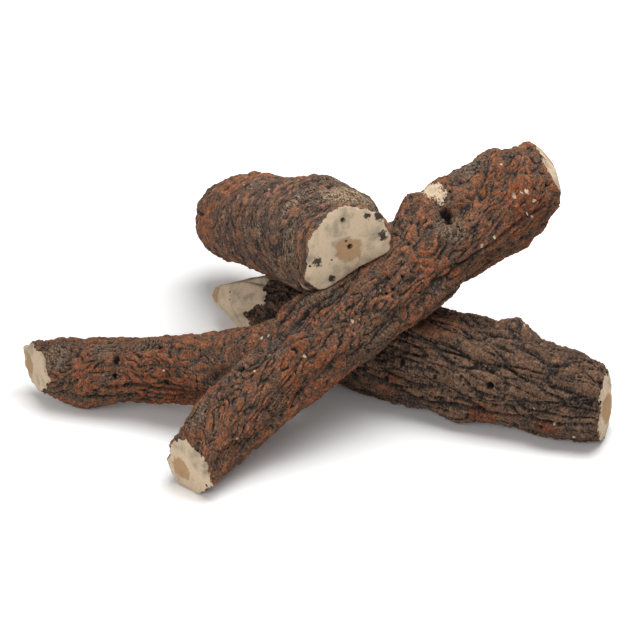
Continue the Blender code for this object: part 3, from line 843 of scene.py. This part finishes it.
def shape_cuts(points, normals, outward, cuts, hewn):
    """Wear the rims of the cut faces and bulge the faces; also their marks and the skin's moves."""
    count = len(points)
    bare = np.zeros(count, bool)
    edge = np.full(count, -1.0)
    shift = np.zeros((count, 3))
    faces = []
    for cut in cuts:
        depth, near = cut.depth(points)
        level = near & (np.abs(depth) < LEVEL_DEPTH) & (normals @ cut.normal > LEVEL_FACING)
        faces.append((cut, depth, near, level))
        bare |= level
    bare |= hewn > 0
    hewn = HEWN_CRISPNESS * hewn
    edge[bare] = np.maximum(hewn[bare], 0)
    rim = points[~bare]
    for cut, depth, near, level in faces:
        inside = np.flatnonzero(level)
        into = nearest_distance(points[inside], rim)
        beside = np.flatnonzero(near & ~bare & (depth < WEAR_WIDTH))
        below = np.maximum(depth[beside], 0)
        for index, away, on_face in ((inside, into, True), (beside, below, False)):
            fade = np.clip(1 - away / WEAR_WIDTH, 0, 1) ** 2
            loss = cut.wear * fade * (0.5 + 0.9 * wobble(points[index], WEAR_BUMPS))
            rise, uneven = 0.0, 0.0
            if on_face:
                rise = cut.dome * (1 - (1 - np.clip(away / cut.radius, 0, 1)) ** 2)
                uneven = FACE_UNEVENNESS * wobble(points[index] + NOISE_DRIFT, FACE_BUMPS)
            shift[index] += (rise + uneven - loss)[:, None] * cut.normal
            shift[index] -= (0.7 * loss)[:, None] * outward[index]
        edge[inside] = np.maximum(into - cut.lap, hewn[inside])
        edge[near & ~bare] = np.maximum(edge[near & ~bare], -np.abs(depth[near & ~bare]) - cut.lap)
    return bare, edge, shift


def room_around(points, neighbours):
    """How far the skin may grow at each point before it meets the hearth or another log."""
    room = np.maximum(points[:, 2], 0) / ROOM_SHARE / 2
    for tree in neighbours:
        found = (tree.find_nearest(point, NEIGHBOUR_REACH)[3] for point in points)
        gaps = np.array([NEIGHBOUR_REACH if gap is None else gap for gap in found])
        room = np.minimum(room, gaps)
    return room * ROOM_SHARE


def lay_skin(piece, limbs, cuts, neighbours, seat_tree):
    """Smooth a log's skin, wear its rims and store its log coordinates and marks on it."""
    mesh = piece.data
    edges = mesh_edges(mesh)
    points = corner_values(mesh, "co")
    normals = corner_values(mesh, "normal")
    trunk = limbs[0]
    outward = trunk.measure(points)[3]
    weights = [np.ones(len(points))]
    if len(limbs) > 1:
        branch = limbs[1]
        gain = trunk.beyond(points) - np.maximum(branch.beyond(points), 0)
        side = eased(gain / FORK_FILLET)
        weights = [1 - side, side]
        outward = unit(outward * weights[0][:, None] + branch.measure(points)[3] * side[:, None])
        store(mesh, branch_grain=branch.grain(points) + BRANCH_DRIFT, branch_share=side)
    store(mesh, grain=trunk.grain(points))

    bare, edge, shift = shape_cuts(points, normals, outward, cuts, trunk.bare_depth(points))
    swell = store_marks(mesh, points, limbs, weights)
    store_hearts(mesh, points, cuts)
    smooth = smoothed(points, edges, FACET_ROUNDS, bare)
    loose = np.where(bare, np.clip(1 - (edge + RIM_OVERLAP) / RIM_FADE, 0, 1) ** 2, 1.0)
    loose *= eased(points[:, 2] / HEARTH_NEARNESS)
    for cut in cuts:
        depth, near = cut.depth(points)
        close = np.where(near, np.clip(1 - np.abs(depth) / RIM_FADE, 0, 1), 0)[:, None]
        flat = outward - (outward @ cut.normal)[:, None] * cut.normal
        outward = unit(outward * (1 - close) + unit(flat) * close)
    if seat_tree:
        gap = np.array([seat_tree.find_nearest(point)[3] for point in points])
        loose *= 1 - eased(2 - gap / SEAT_NEARNESS)
        shift *= eased(gap / SEAT_FADE)[:, None]
    drop = np.zeros(len(points))
    for cut in cuts:
        for centre, radius in cut.pins:
            hole = eased((1.12 - np.linalg.norm(points - centre, axis=1) / radius) / 0.24)
            drop = np.maximum(drop, hole)
            shift -= (PIN_DEPTH * hole)[:, None] * cut.normal
    shift += (swell * loose)[:, None] * outward
    room = room_around(smooth + shift, neighbours)
    mesh.vertices.foreach_set("co", (smooth + shift).astype(np.float32).ravel())
    mesh.update()
    store(mesh, pin=drop, room=room, outward=outward, loose=loose, edge=edge / MM)


def store_marks(mesh, points, limbs, weights):
    """Marks at their places on each limb, stored on the mesh; gives the height of the swellings."""
    sink, dark, chip, tone, ring, ring_away, swell = (np.zeros(len(points)) for _ in range(7))
    for limb, weight in zip(limbs, weights):
        for mark, away in limb.spots("pits", points):
            pit = eased((1.25 - away) / 0.6) * weight
            sink += mark[2] * MM * 1.5 * pit
            # The dark mask makes the paint put near-black painted shade in the pits, deeper than the furrow
            # paint
            dark = np.maximum(dark, pit)
        for _, away in limb.spots("chips", points):
            broken = np.clip(1.5 - away, 0, 1) * weight
            chip = np.maximum(chip, broken)
            sink += CHIP_DEPTH * eased(2 * broken)
        for mark in limb.marks.get("rings", ()):
            away = limb.apart(points, mark, RING_STRETCH)
            here = 0.7 * eased(1.6 * (1 - away / (mark[2] * MM))) * weight
            ring_away = np.where(here > ring, away, ring_away)
            ring = np.maximum(ring, here)
        for mark, away in limb.spots("tones", points):
            tone += mark[3] * (eased(1.8 * (1 - away)) * weight)
        for mark, away in limb.spots("swells", points, 1.4):
            swell += mark[3] * MM * eased(1.3 * (1 - away)) * weight
        for crease in limb.marks["creases"]:
            groove = limb.groove(points, crease) * weight
            sink = np.maximum(sink, crease[4] * MM * groove)
            # and puts painted shade in the creases too
            dark = np.maximum(dark, 0.75 * eased(1.3 * groove))
    store(mesh, sink=sink, dark=dark, chip=chip, tone=tone, ring=ring, ring_away=ring_away)
    return swell


def store_hearts(mesh, points, cuts):
    """Painted heartwood and smudges: 1 at their border and 2 in their middle."""
    for name in ("hearts", "smudges"):
        paint_here = np.zeros(len(points))
        for cut in cuts:
            for centre, radius in getattr(cut, name):
                away = np.linalg.norm(points - centre, axis=1) / radius
                paint_here = np.maximum(paint_here, np.clip(2 - away, 0, 2))
        store(mesh, **{name: paint_here})


def store_crests(piece):
    """How far each corner stands above the skin close about it, and wide about it, in millimetres."""
    mesh = piece.data
    edges = mesh_edges(mesh)
    points = corner_values(mesh, "co")
    close = smoothed(points, edges, CREST_ROUNDS)
    directions = unit(smoothed(corner_values(mesh, "normal"), edges, CREST_ROUNDS))
    wide = smoothed(close, edges, HOLLOW_ROUNDS)
    crest = ((points - close) * directions).sum(axis=1) / MM
    hollow = ((wide - close) * directions).sum(axis=1) / MM
    store(mesh, crest=crest, hollow=hollow)


def thin_out(piece):
    """Bring a dense skin down to the most triangles a piece may have, keeping its detail."""
    mesh = piece.data
    mesh.calc_loop_triangles()
    count = len(mesh.loop_triangles)
    if count > MOST_TRIANGLES:
        thin = piece.modifiers.new("thin_out", "DECIMATE")
        thin.ratio = MOST_TRIANGLES / count
        piece.data = applied(piece)
        piece.data.shade_smooth()


def bark_pattern(wiring, grain, given, ring, ring_away):
    """Shares of ridge, plate and wrinkle in log coordinates, alike in shape and in paint."""
    along = wiring.add("ShaderNodeSeparateXYZ", {0: grain})["X"]
    turn = {"Vector": grain, "Angle": along * given["Ridge twist"]}
    turned = wiring.add("ShaderNodeVectorRotate", turn, rotation_type="X_AXIS")["Vector"]
    drift = wiring.add("ShaderNodeCombineXYZ", {0: given["Seed"]})["Vector"]
    place = wiring.vector("ADD", turned, drift)

    cells = wiring.stretched(place, given["Ridge length"], given["Ridge width"])
    cells = wiring.wandering(cells, given["Ridge wander"])
    main = wiring.step(wiring.ropes(cells, given["Ridge turns"]), 0.02, 0.55)
    broken = wiring.stretched(place, given["Break along"], given["Break round"])
    broken = wiring.step(wiring.noise(broken, 1.0, 1.0), 0.36, 0.52)
    small = wiring.step(wiring.ropes(wiring.scaled(cells, 2.3), given["Ridge turns"]), 0.1, 0.8)
    ridge = wiring.between(small * given["Fine share"], main, wiring.between(0.35, 1.0, broken))
    islands = wiring.cells(wiring.wandering(cells, 0.9), 0.8, "DISTANCE_TO_EDGE")["Distance"]
    plated = wiring.step(wiring.noise(place, PLATE_FINENESS, 1.0), 0.42, 0.58) * given["Plate share"]
    ridge = wiring.between(ridge, wiring.step(islands, 0.02, 0.22), plated)
    turns = ring_away / RING_SPACING + wiring.noise(cells, 0.7, 1.0) * 2.6
    ringed = wiring.step(wiring.math("COSINE", turns * math.tau), -0.7, 0.5)
    ridge = wiring.between(ridge, ringed, ring)

    cracks = wiring.stretched(place, given["Crack length"], given["Crack width"])
    rim = wiring.cells(wiring.wandering(cracks, 0.9), 1.0, "DISTANCE_TO_EDGE")["Distance"]
    wrinkle = wiring.stretched(place, given["Wrinkle along"], given["Wrinkle round"])
    wrinkle = wiring.noise(wiring.wandering(wrinkle, 0.8))
    return ridge, wiring.step(rim, 0.0, 0.08), wrinkle, place


def bark_height(wiring, grain, given):
    """Height of the bark over the plain casting, from log coordinates."""
    marks = (wiring.stored("ring"), wiring.stored("ring_away"))
    ridge, plate, wrinkle, place = bark_pattern(wiring, grain, given, *marks)
    lump = wiring.noise(wiring.stretched(place, given["Lump size"], given["Lump size"]))
    height = (ridge - 1.0) * given["Ridge depth"] + given["Proud"] + (plate - 1.0) * given["Crack depth"]
    height = height + (lump - 0.6) * (given["Lump height"] * 3.0)
    return height + (wrinkle - 0.6) * (given["Wrinkle depth"] * 3.0)


def group_socket(tree, name, kind, direction="INPUT"):
    """New named socket of a node group."""
    return tree.interface.new_socket(name=name, in_out=direction, socket_type="NodeSocket" + kind)


def bark_tree():
    """Geometry tree that presses bark into a log's skin, from the log coordinates stored on it."""
    tree = bpy.data.node_groups.new("cast_bark", "GeometryNodeTree")
    group_socket(tree, "Skin", "Geometry")
    for name in names_of(PATTERN_ROWS + DEPTH_ROWS) + ["Seed", "Forked"]:
        group_socket(tree, name, "Float")
    group_socket(tree, "Paint", "Material")
    group_socket(tree, "Bark", "Geometry", "OUTPUT")
    wiring = Wiring(tree)
    given = wiring.add("NodeGroupInput")
    on_trunk = bark_height(wiring, wiring.stored("grain", "FLOAT_VECTOR"), given)
    on_branch = bark_height(wiring, wiring.stored("branch_grain", "FLOAT_VECTOR"), given)
    height = wiring.between(on_trunk, on_branch, wiring.stored("branch_share") * given["Forked"])
    height = wiring.math("MINIMUM", height * wiring.stored("loose"), wiring.stored("room"))
    height = height - wiring.stored("sink")
    offset = wiring.scaled(wiring.stored("outward", "FLOAT_VECTOR"), height)
    moved = wiring.add("GeometryNodeSetPosition", {"Geometry": given["Skin"], "Offset": offset})
    real = wiring.add("GeometryNodeRealizeInstances", {"Geometry": moved["Geometry"]})
    coat = {"Geometry": real["Geometry"], "Material": given["Paint"]}
    painted = wiring.add("GeometryNodeSetMaterial", coat)
    wiring.add("NodeGroupOutput", {"Bark": painted["Geometry"]})
    return tree


def given_values(settings, names):
    """Values of a group of settings, under the names that the node groups use."""
    return {name: getattr(settings, plain_name(name)) for name in names}


def press_bark(piece, settings, material, forked):
    """Run the bark's geometry tree on a skin and keep its result as a plain mesh."""
    tree = bpy.data.node_groups.get("cast_bark") or bark_tree()
    modifier = piece.modifiers.new("cast_bark", "NODES")
    modifier.node_group = tree
    given = given_values(settings, names_of(PATTERN_ROWS + DEPTH_ROWS))
    given |= {"Seed": float(settings.seed), "Forked": float(forked), "Paint": material}
    for socket in tree.interface.items_tree:
        if socket.name in given:
            modifier[socket.identifier] = given[socket.name]
    piece.data = applied(piece)
    piece.data.shade_smooth()


def wire_bark_paint(wiring, given):
    """Furrow paint, ground coat, dry brushing on the ridges, misses, dust and flecks."""
    grain = given["Grain"]
    tone = given["Tone"]
    ridge, plate, wrinkle, _ = bark_pattern(wiring, grain, given, given["Ring"], given["Ring away"])
    patch = wiring.stretched(grain, given["Blotch size"], given["Blotch size"])
    patch = wiring.noise(patch, 1.0, 4.0, 0.65)
    speck = wiring.noise(grain, SPECK_FINENESS, 3.0, 0.7)
    stroke = wiring.stretched(grain, given["Stroke along"], given["Stroke round"])
    stroke = wiring.noise(wiring.wandering(stroke, 1.2), 1.0, 2.0, 0.6)
    stroke = (stroke - 0.5) * given["Stroke strength"]
    broad = wiring.noise(grain, BROAD_FINENESS, 2.0, 0.6)

    level = ridge * wiring.step(plate, 0.0, 1.0, 0.5, 1.0) - 0.55 - tone * 0.3
    level = level + (broad - 0.47) * 1.3 + (wrinkle - 0.5) * 1.6
    level = level + given["Crest"] * 0.35 - given["Hollow"] * 0.28 + stroke + (speck - 0.5) * 0.9

    misty = wiring.step(wiring.noise(grain, MIST_FINENESS), 0.48, 0.62)
    deep = wiring.blend(misty, given["Furrows"], given["Mist"])
    ground = wiring.blend(wiring.step(patch, 0.40, 0.62) * 0.4, given["Ground"], deep)
    coat = wiring.blend(wiring.step(level, -0.65, -0.1), deep, ground)
    missed = wiring.step(patch, 0.46, 0.60) * given["Blotch share"] + tone
    cover = wiring.math("SUBTRACT", 1.0, missed, clamp=True)
    brushed = wiring.step(level, 0.0, 0.5) * cover
    brushed = wiring.math("MULTIPLY", brushed, given["Brushed share"], clamp=True)
    rusty = wiring.math("MULTIPLY", tone, -1.0, clamp=True)
    rich = wiring.blend(rusty, given["Brushed"], given["Rust"])
    rich = wiring.dimmed(rich, wiring.step(wiring.noise(grain, RUST_FINENESS), 0.4, 0.65, 0.68, 1.1))
    coat = wiring.blend(brushed, coat, rich)
    dusty = wiring.step(wiring.noise(grain, SPECK_FINENESS, 3.0, 0.75) + tone * 0.05, 0.50, 0.62)
    more = wiring.math("MAXIMUM", tone, 0.0) * given["Dusty share"]
    more = wiring.math("ADD", 0.16, more, clamp=True) * wiring.step(level, -1.5, -0.5)
    coat = wiring.blend(dusty * more, coat, given["Dust"])
    fleck = wiring.spots(grain, FLECK_FINENESS, 0.16, 0.02, (0.965, 0.966))
    coat = wiring.blend(fleck * 0.8, coat, given["Flecks"])
    # Painted shade: near black over the pits and creases, where the dark mask is
    coat = wiring.blend(given["Dark"] * 0.85, coat, PIT_SHADE)
    sand = wiring.noise(grain, SAND_FINENESS, 2.0, 0.8)
    coat = wiring.dimmed(coat, wiring.step(sand, 0.33, 0.66, 0.5, 1.4))
    return {"Color": coat, "Grit": speck + stroke + sand}


def wire_bare_casting(wiring, given):
    """Bare cream casting with cloudy patches, bug holes, painted heartwood and overspray."""
    place = given["Place"]
    cloud = wiring.noise(place, CLOUD_FINENESS, 4.0, 0.6)
    fine = wiring.noise(place, CAST_FINENESS, 4.0, 0.7)
    stain = wiring.noise(place, STAIN_FINENESS, 4.0, 0.75) * 3.2 + given["Stain"]
    heart = given["Heartwood"] + cloud * 1.1 + fine * 0.5
    hole = wiring.spots(place, HOLE_FINENESS, 0.2, 0.04, (0.88, 0.89))
    coat = wiring.blend(wiring.step(cloud, 0.44, 0.76), given["Cream"], given["Shade"])
    coat = wiring.blend(wiring.step(heart, 1.68, 1.92, 0.0, 0.85), coat, given["Heart"])
    coat = wiring.blend(wiring.step(fine, 0.56, 0.74, 0.0, 0.4), coat, given["Smudge"])
    coat = wiring.blend(wiring.step(stain, 2.35, 2.8, 0.0, 0.92), coat, STAIN_BLACK)
    # Painted shade: the bug holes, which the bump only dents, are darkened to the overspray grey
    coat = wiring.blend(hole, coat, given["Smudge"])
    # Painted shade: near black inside the pin holes
    coat = wiring.blend(given["Pin"], coat, PIN_HOLE_SHADE)
    return {"Color": coat, "Grit": fine - hole * 2.0}


def shader_group(name, wire, colours, numbers, vectors):
    """Shader node group with named inputs, built once, that gives a colour and a height of grit."""
    if name in bpy.data.node_groups:
        return bpy.data.node_groups[name]
    tree = bpy.data.node_groups.new(name, "ShaderNodeTree")
    for kind, names in (("Color", colours), ("Float", numbers), ("Vector", vectors)):
        for socket in names:
            group_socket(tree, socket, kind)
    group_socket(tree, "Color", "Color", "OUTPUT")
    group_socket(tree, "Grit", "Float", "OUTPUT")
    wiring = Wiring(tree)
    wiring.add("NodeGroupOutput", wire(wiring, wiring.add("NodeGroupInput")))
    return tree


def bark_paint_group():
    """Shader group for the bark's paint."""
    colours = names_of(COLOUR_ROWS) + ["Flecks"]
    numbers = names_of(PATTERN_ROWS + PAINT_ROWS) + ["Seed"] + PAINT_MARKS
    return shader_group("bark_paint", wire_bark_paint, colours, numbers, ["Grain"])


def bare_cast_group():
    """Shader group for the bare casting."""
    masks = ["Heartwood", "Stain", "Pin"]
    return shader_group("bare_casting", wire_bare_casting, CAST_COLOURS, masks, ["Place"])


def new_finish(name):
    """New material, the wiring of its tree and its shader."""
    material = bpy.data.materials.new(name)
    material.use_nodes = True
    return material, Wiring(material.node_tree), material.node_tree.nodes["Principled BSDF"]


def log_material(name, settings, cast, forked):
    """Painted bark with bare casting at its cut faces, chips and pin holes."""
    material, wiring, shader = new_finish(name)
    place = wiring.add("ShaderNodeTexCoord")["Object"]
    grain = wiring.attribute("grain", "Vector")
    if forked:
        side = wiring.math("GREATER_THAN", wiring.attribute("branch_share"), 0.5)
        grain = wiring.blend(side, grain, wiring.attribute("branch_grain", "Vector"))
    given = given_values(settings, names_of(PATTERN_ROWS + PAINT_ROWS + COLOUR_ROWS))
    given |= {mark: wiring.attribute(plain_name(mark)) for mark in PAINT_MARKS}
    given |= {"Flecks": cast.cream, "Seed": float(settings.seed), "Grain": grain}
    bark = wiring.add("ShaderNodeGroup", given, node_tree=bark_paint_group())
    given = given_values(cast, CAST_COLOURS) | {"Place": place}
    for mask, mark in (("Heartwood", "hearts"), ("Stain", "smudges"), ("Pin", "pin")):
        given[mask] = wiring.attribute(mark)
    bare = wiring.add("ShaderNodeGroup", given, node_tree=bare_cast_group())
    ragged = (wiring.noise(place, RIM_FINENESS, 4.0, 0.65) - 0.5) * 11.0
    cut = wiring.step(wiring.attribute("edge") + ragged, -0.7, -0.3)
    crumbs = ragged * 0.16 + (wiring.noise(place, CRUMB_FINENESS, 3.0, 0.7) - 0.5) * 1.6
    cut = wiring.math("MAXIMUM", cut, wiring.step(wiring.attribute("chip") + crumbs, 0.55, 0.7))
    cut = wiring.math("MAXIMUM", cut, wiring.attribute("pin"))
    grit = bark["Grit"] * (1.0 - cut) + bare["Grit"]
    bump = wiring.add("ShaderNodeBump", {"Strength": 0.7, "Distance": GRIT_HEIGHT, "Height": grit})
    coat = wiring.blend(cut, bark["Color"], bare["Color"])
    wiring.fill(shader, {"Base Color": coat, "Normal": bump["Normal"]})
    wiring.fill(shader, {"Roughness": 0.85, "Specular IOR Level": 0.1})
    return material


def skin_tree(node):
    """Search tree of a CAD node's surface."""
    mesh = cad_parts[node].data
    polygons = [tuple(polygon.vertices) for polygon in mesh.polygons]
    return BVHTree.FromPolygons([v.co for v in mesh.vertices], polygons)


def make_log(log_set, body, name, node, rods, shape_of, seat=None):
    """Dress one casting: fine skin, log coordinates, pressed bark, marks and paint."""
    settings = getattr(log_set, body)
    plain = plain_copy(node, rods)
    cuts = [cut for cut in flat_cuts(plain) if cut.normal[2] > FACE_DOWN]
    limbs, cuts = shape_of(cuts, corner_values(plain, "co"))
    pins = [pin for cut in cuts for pin in cut.pins]
    piece = fine_skin(name, plain, settings.grid, pins)
    trees = {other: skin_tree(other) for other in LOG_NODES if other != node}
    forked = len(limbs) > 1
    lay_skin(piece, limbs, cuts, trees.values(), trees.get(seat))
    press_bark(piece, settings, log_material(name + "_finish", settings, log_set.cast, forked), forked)
    store_crests(piece)
    thin_out(piece)
    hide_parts(node)
    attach(piece, body)


def rear_shape(cuts, skin):
    """Rear log's limb, from its hewn tip to its sawn end, and its cut faces."""
    end = sawn(cuts, *REAR_END)
    tip = skin[np.argmin(skin[:, 0])]
    hewn = [cut for cut in cuts if cut is not end]
    hewn[0].hearts.append((tip, HEWN_HEART))
    near_tip = skin[np.linalg.norm(skin - tip, axis=1) < TIP_REACH].mean(axis=0)
    log = Limb(near_tip, end.middle, skin, REAR_MARKS)
    log.bare_share = REAR_HEWN_SHARE
    return [log], cuts


def front_shape(cuts, skin):
    """Front log's trunk, from its foot to its raised end, its branch and its three cut faces."""
    foot, raised, tip = (sawn(cuts, *face) for face in (TRUNK_FOOT, RAISED_END, BRANCH_END))
    raised.smudges = [raised.spot(*smudge) for smudge in RAISED_SMUDGES]
    trunk = Limb(foot.middle, raised.middle, skin, TRUNK_MARKS)
    middle = [np.polyval(trunk.middle[k], BRANCH_ROOT_SHARE) for k in (0, 1)]
    root = foot.middle + np.array((BRANCH_ROOT_SHARE * trunk.length, *middle)) @ trunk.axes
    return [trunk, Limb(root, tip.middle, skin, BRANCH_MARKS)], [foot, raised, tip]


def top_shape(cuts, skin):
    """Top log's limb, from its far end to the cut face above the trunk, and its cut faces."""
    near, far = sawn(cuts, *TOP_FACE), sawn(cuts, *TOP_FAR_END)
    pin = near.drill("top_rod", ROD_PIN_RADIUS)
    near.hearts.append((pin - UP * TOP_HEART_DROP, TOP_HEART_RADIUS))
    near.pins.append(near.spot(*UPPER_PIN))
    near.pins.append((pin - near.across * SMALL_PIN_LEFT + UP * SMALL_PIN_RISE, SMALL_PIN_RADIUS))
    near.smudges = [near.spot(*smudge) for smudge in TOP_FACE_SMUDGES]
    return [Limb(far.middle, near.middle, skin, TOP_MARKS)], [near, far]


class LOGSET_OT_rear_log(bpy.types.Operator):
    """Make the rear log: long flaky furrows, a hewn tip and a sawn end."""

    bl_idname = "log_set.rear_log"
    bl_label = "Rear Log"

    def execute(self, context):
        log_set = context.scene.log_set
        rods = ["rear_rod"]
        make_log(log_set, "rear", "rear_log_casting", "rear_log", rods, rear_shape)
        return {"FINISHED"}


class LOGSET_OT_front_log(bpy.types.Operator):
    """Make the forked front log: ropy ridges, three sawn ends and a fork."""

    bl_idname = "log_set.front_log"
    bl_label = "Forked Front Log"

    def execute(self, context):
        log_set = context.scene.log_set
        rods = ["trunk_rod", "branch_rod"]
        name, node = "forked_log_casting", "forked_front_log"
        make_log(log_set, "front", name, node, rods, front_shape)
        return {"FINISHED"}


class LOGSET_OT_top_log(bpy.types.Operator):
    """Make the top log: a smoother skin, and a saddle that sits on the trunk."""

    bl_idname = "log_set.top_log"
    bl_label = "Top Log"

    def execute(self, context):
        log_set = context.scene.log_set
        rods, seat = ["top_rod"], "forked_front_log"
        make_log(log_set, "top", "top_log_casting", "top_log", rods, top_shape, seat)
        return {"FINISHED"}


class LOGSET_OT_rods(bpy.types.Operator):
    """Give the reinforcing rods inside the castings their drawn and scaled steel."""

    bl_idname = "log_set.rods"
    bl_label = "Reinforcing Rods"

    def execute(self, context):
        steel = context.scene.log_set.cast.steel
        material, wiring, shader = new_finish("rod_steel_finish")
        scale = wiring.noise(wiring.add("ShaderNodeTexCoord")["Object"], SCALE_FINENESS, 4.0, 0.6)
        dark = tuple(0.35 * value for value in steel)
        coat = wiring.blend(wiring.step(scale, 0.4, 0.62), steel, dark)
        roughness = wiring.step(scale, 0.35, 0.65, 0.38, 0.7)
        wiring.fill(shader, {"Base Color": coat, "Roughness": roughness, "Metallic": 1.0})
        for name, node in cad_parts.items():
            if name.endswith("_rod"):
                node.data.materials.clear()
                node.data.materials.append(material)
        return {"FINISHED"}


class LOGSET_OT_stage(bpy.types.Operator):
    """Make the floor, the lamps, the sky and the camera."""

    bl_idname = "log_set.stage"
    bl_label = "Stage"

    def execute(self, context):
        settings = context.scene.log_set.stage
        make_floor(settings)
        make_sky(context.scene, settings)
        make_lamp("key_lamp", *KEY_LAMP, settings.key_power)
        make_lamp("front_lamp", *FRONT_LAMP, settings.front_power)
        make_camera(context.scene, settings)
        context.scene.view_settings.view_transform = "Standard"
        return {"FINISHED"}


def make_floor(settings):
    """Pale floor that keeps the logs' shadows and looks white to rays that see it."""
    bm = bmesh.new()
    bmesh.ops.create_grid(bm, x_segments=2, y_segments=2, size=FLOOR_REACH)
    mesh = bpy.data.meshes.new("floor")
    bm.to_mesh(mesh)
    bm.free()
    floor = linked("floor", mesh)
    material, wiring, shader = new_finish("floor_paint")
    rays = wiring.seen_rays()
    place = wiring.add("ShaderNodeTexCoord")["Object"]
    away = wiring.add("ShaderNodeVectorMath", {0: place}, operation="LENGTH")["Value"]
    lift = wiring.step(away, *NEAR_FLOOR, settings.floor_lift, settings.far_lift)
    lift = lift + wiring.step(away, *FAR_FLOOR, 0.0, HORIZON_LIFT)
    coat = wiring.blend(rays, (settings.floor_light,) * 3, (settings.floor_white,) * 3)
    wiring.fill(shader, {"Base Color": coat, "Roughness": 0.9, "Specular IOR Level": 0.1})
    wiring.fill(shader, {"Emission Color": WHITE, "Emission Strength": rays * lift})
    mesh.materials.append(material)


def make_sky(scene, settings):
    """Even light from all round, which looks white to rays that see it."""
    world = bpy.data.worlds.new("sky")
    world.use_nodes = True
    scene.world = world
    wiring = Wiring(world.node_tree)
    strength = wiring.step(wiring.seen_rays(), 0.0, 1.0, settings.sky_strength, 1.0)
    wiring.fill(world.node_tree.nodes["Background"], {"Color": WHITE, "Strength": strength})


def make_lamp(name, place, target, sides, power):
    """Soft rectangular lamp."""
    lamp = bpy.data.lights.new(name, "AREA")
    lamp.shape = "RECTANGLE"
    lamp.size, lamp.size_y = sides
    lamp.energy = power
    piece = linked(name, lamp)
    piece.location = place
    piece.rotation_euler = (Vector(target) - Vector(place)).to_track_quat("-Z", "Y").to_euler()


def make_camera(scene, settings):
    """Camera at the photograph's viewing angle."""
    camera = bpy.data.cameras.new("camera")
    camera.lens = settings.lens
    camera.sensor_width = SENSOR_WIDTH
    piece = linked("camera", camera)
    back = Vector((0.0, -math.cos(settings.elevation), math.sin(settings.elevation)))
    piece.location = Vector(settings.target) + back * settings.distance
    piece.rotation_euler = (-back).to_track_quat("-Z", "Y").to_euler()
    scene.camera = piece


OPERATORS = (
    LOGSET_OT_rear_log,
    LOGSET_OT_front_log,
    LOGSET_OT_top_log,
    LOGSET_OT_rods,
    LOGSET_OT_stage,
)


class LOGSET_PT_panel(bpy.types.Panel):
    """Lists the steps that dress the set, and their sizes and colours."""

    bl_label = "Gas Log Set"
    bl_idname = "LOGSET_PT_panel"
    bl_space_type = "VIEW_3D"
    bl_region_type = "UI"
    bl_category = "Gas Log Set"

    def draw(self, context):
        for operator in OPERATORS:
            self.layout.operator(operator.bl_idname)
        for name in ("front", "rear", "top", "cast", "stage"):
            group = getattr(context.scene.log_set, name)
            box = self.layout.box()
            box.label(text=name.capitalize())
            for prop in group.bl_rna.properties:
                if prop.identifier not in ("rna_type", "name"):
                    box.prop(group, prop.identifier)


CLASSES = (
    FrontBark,
    RearBark,
    TopBark,
    CastSettings,
    StageSettings,
    LogSetSettings,
    *OPERATORS,
    LOGSET_PT_panel,
)


def register():
    """Make the settings, operators and panel known to Blender."""
    for item in CLASSES:
        bpy.utils.register_class(item)
    bpy.types.Scene.log_set = PointerProperty(type=LogSetSettings)


def unregister():
    """Take the settings, operators and panel away again."""
    del bpy.types.Scene.log_set
    for item in reversed(CLASSES):
        bpy.utils.unregister_class(item)


def main():
    """Dress the set, then write the CAD box and the dressed box."""
    register()
    for operator in OPERATORS:
        group, name = operator.bl_idname.split(".")
        getattr(getattr(bpy.ops, group), name)()
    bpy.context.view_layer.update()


if __name__ == "__main__":
    main()
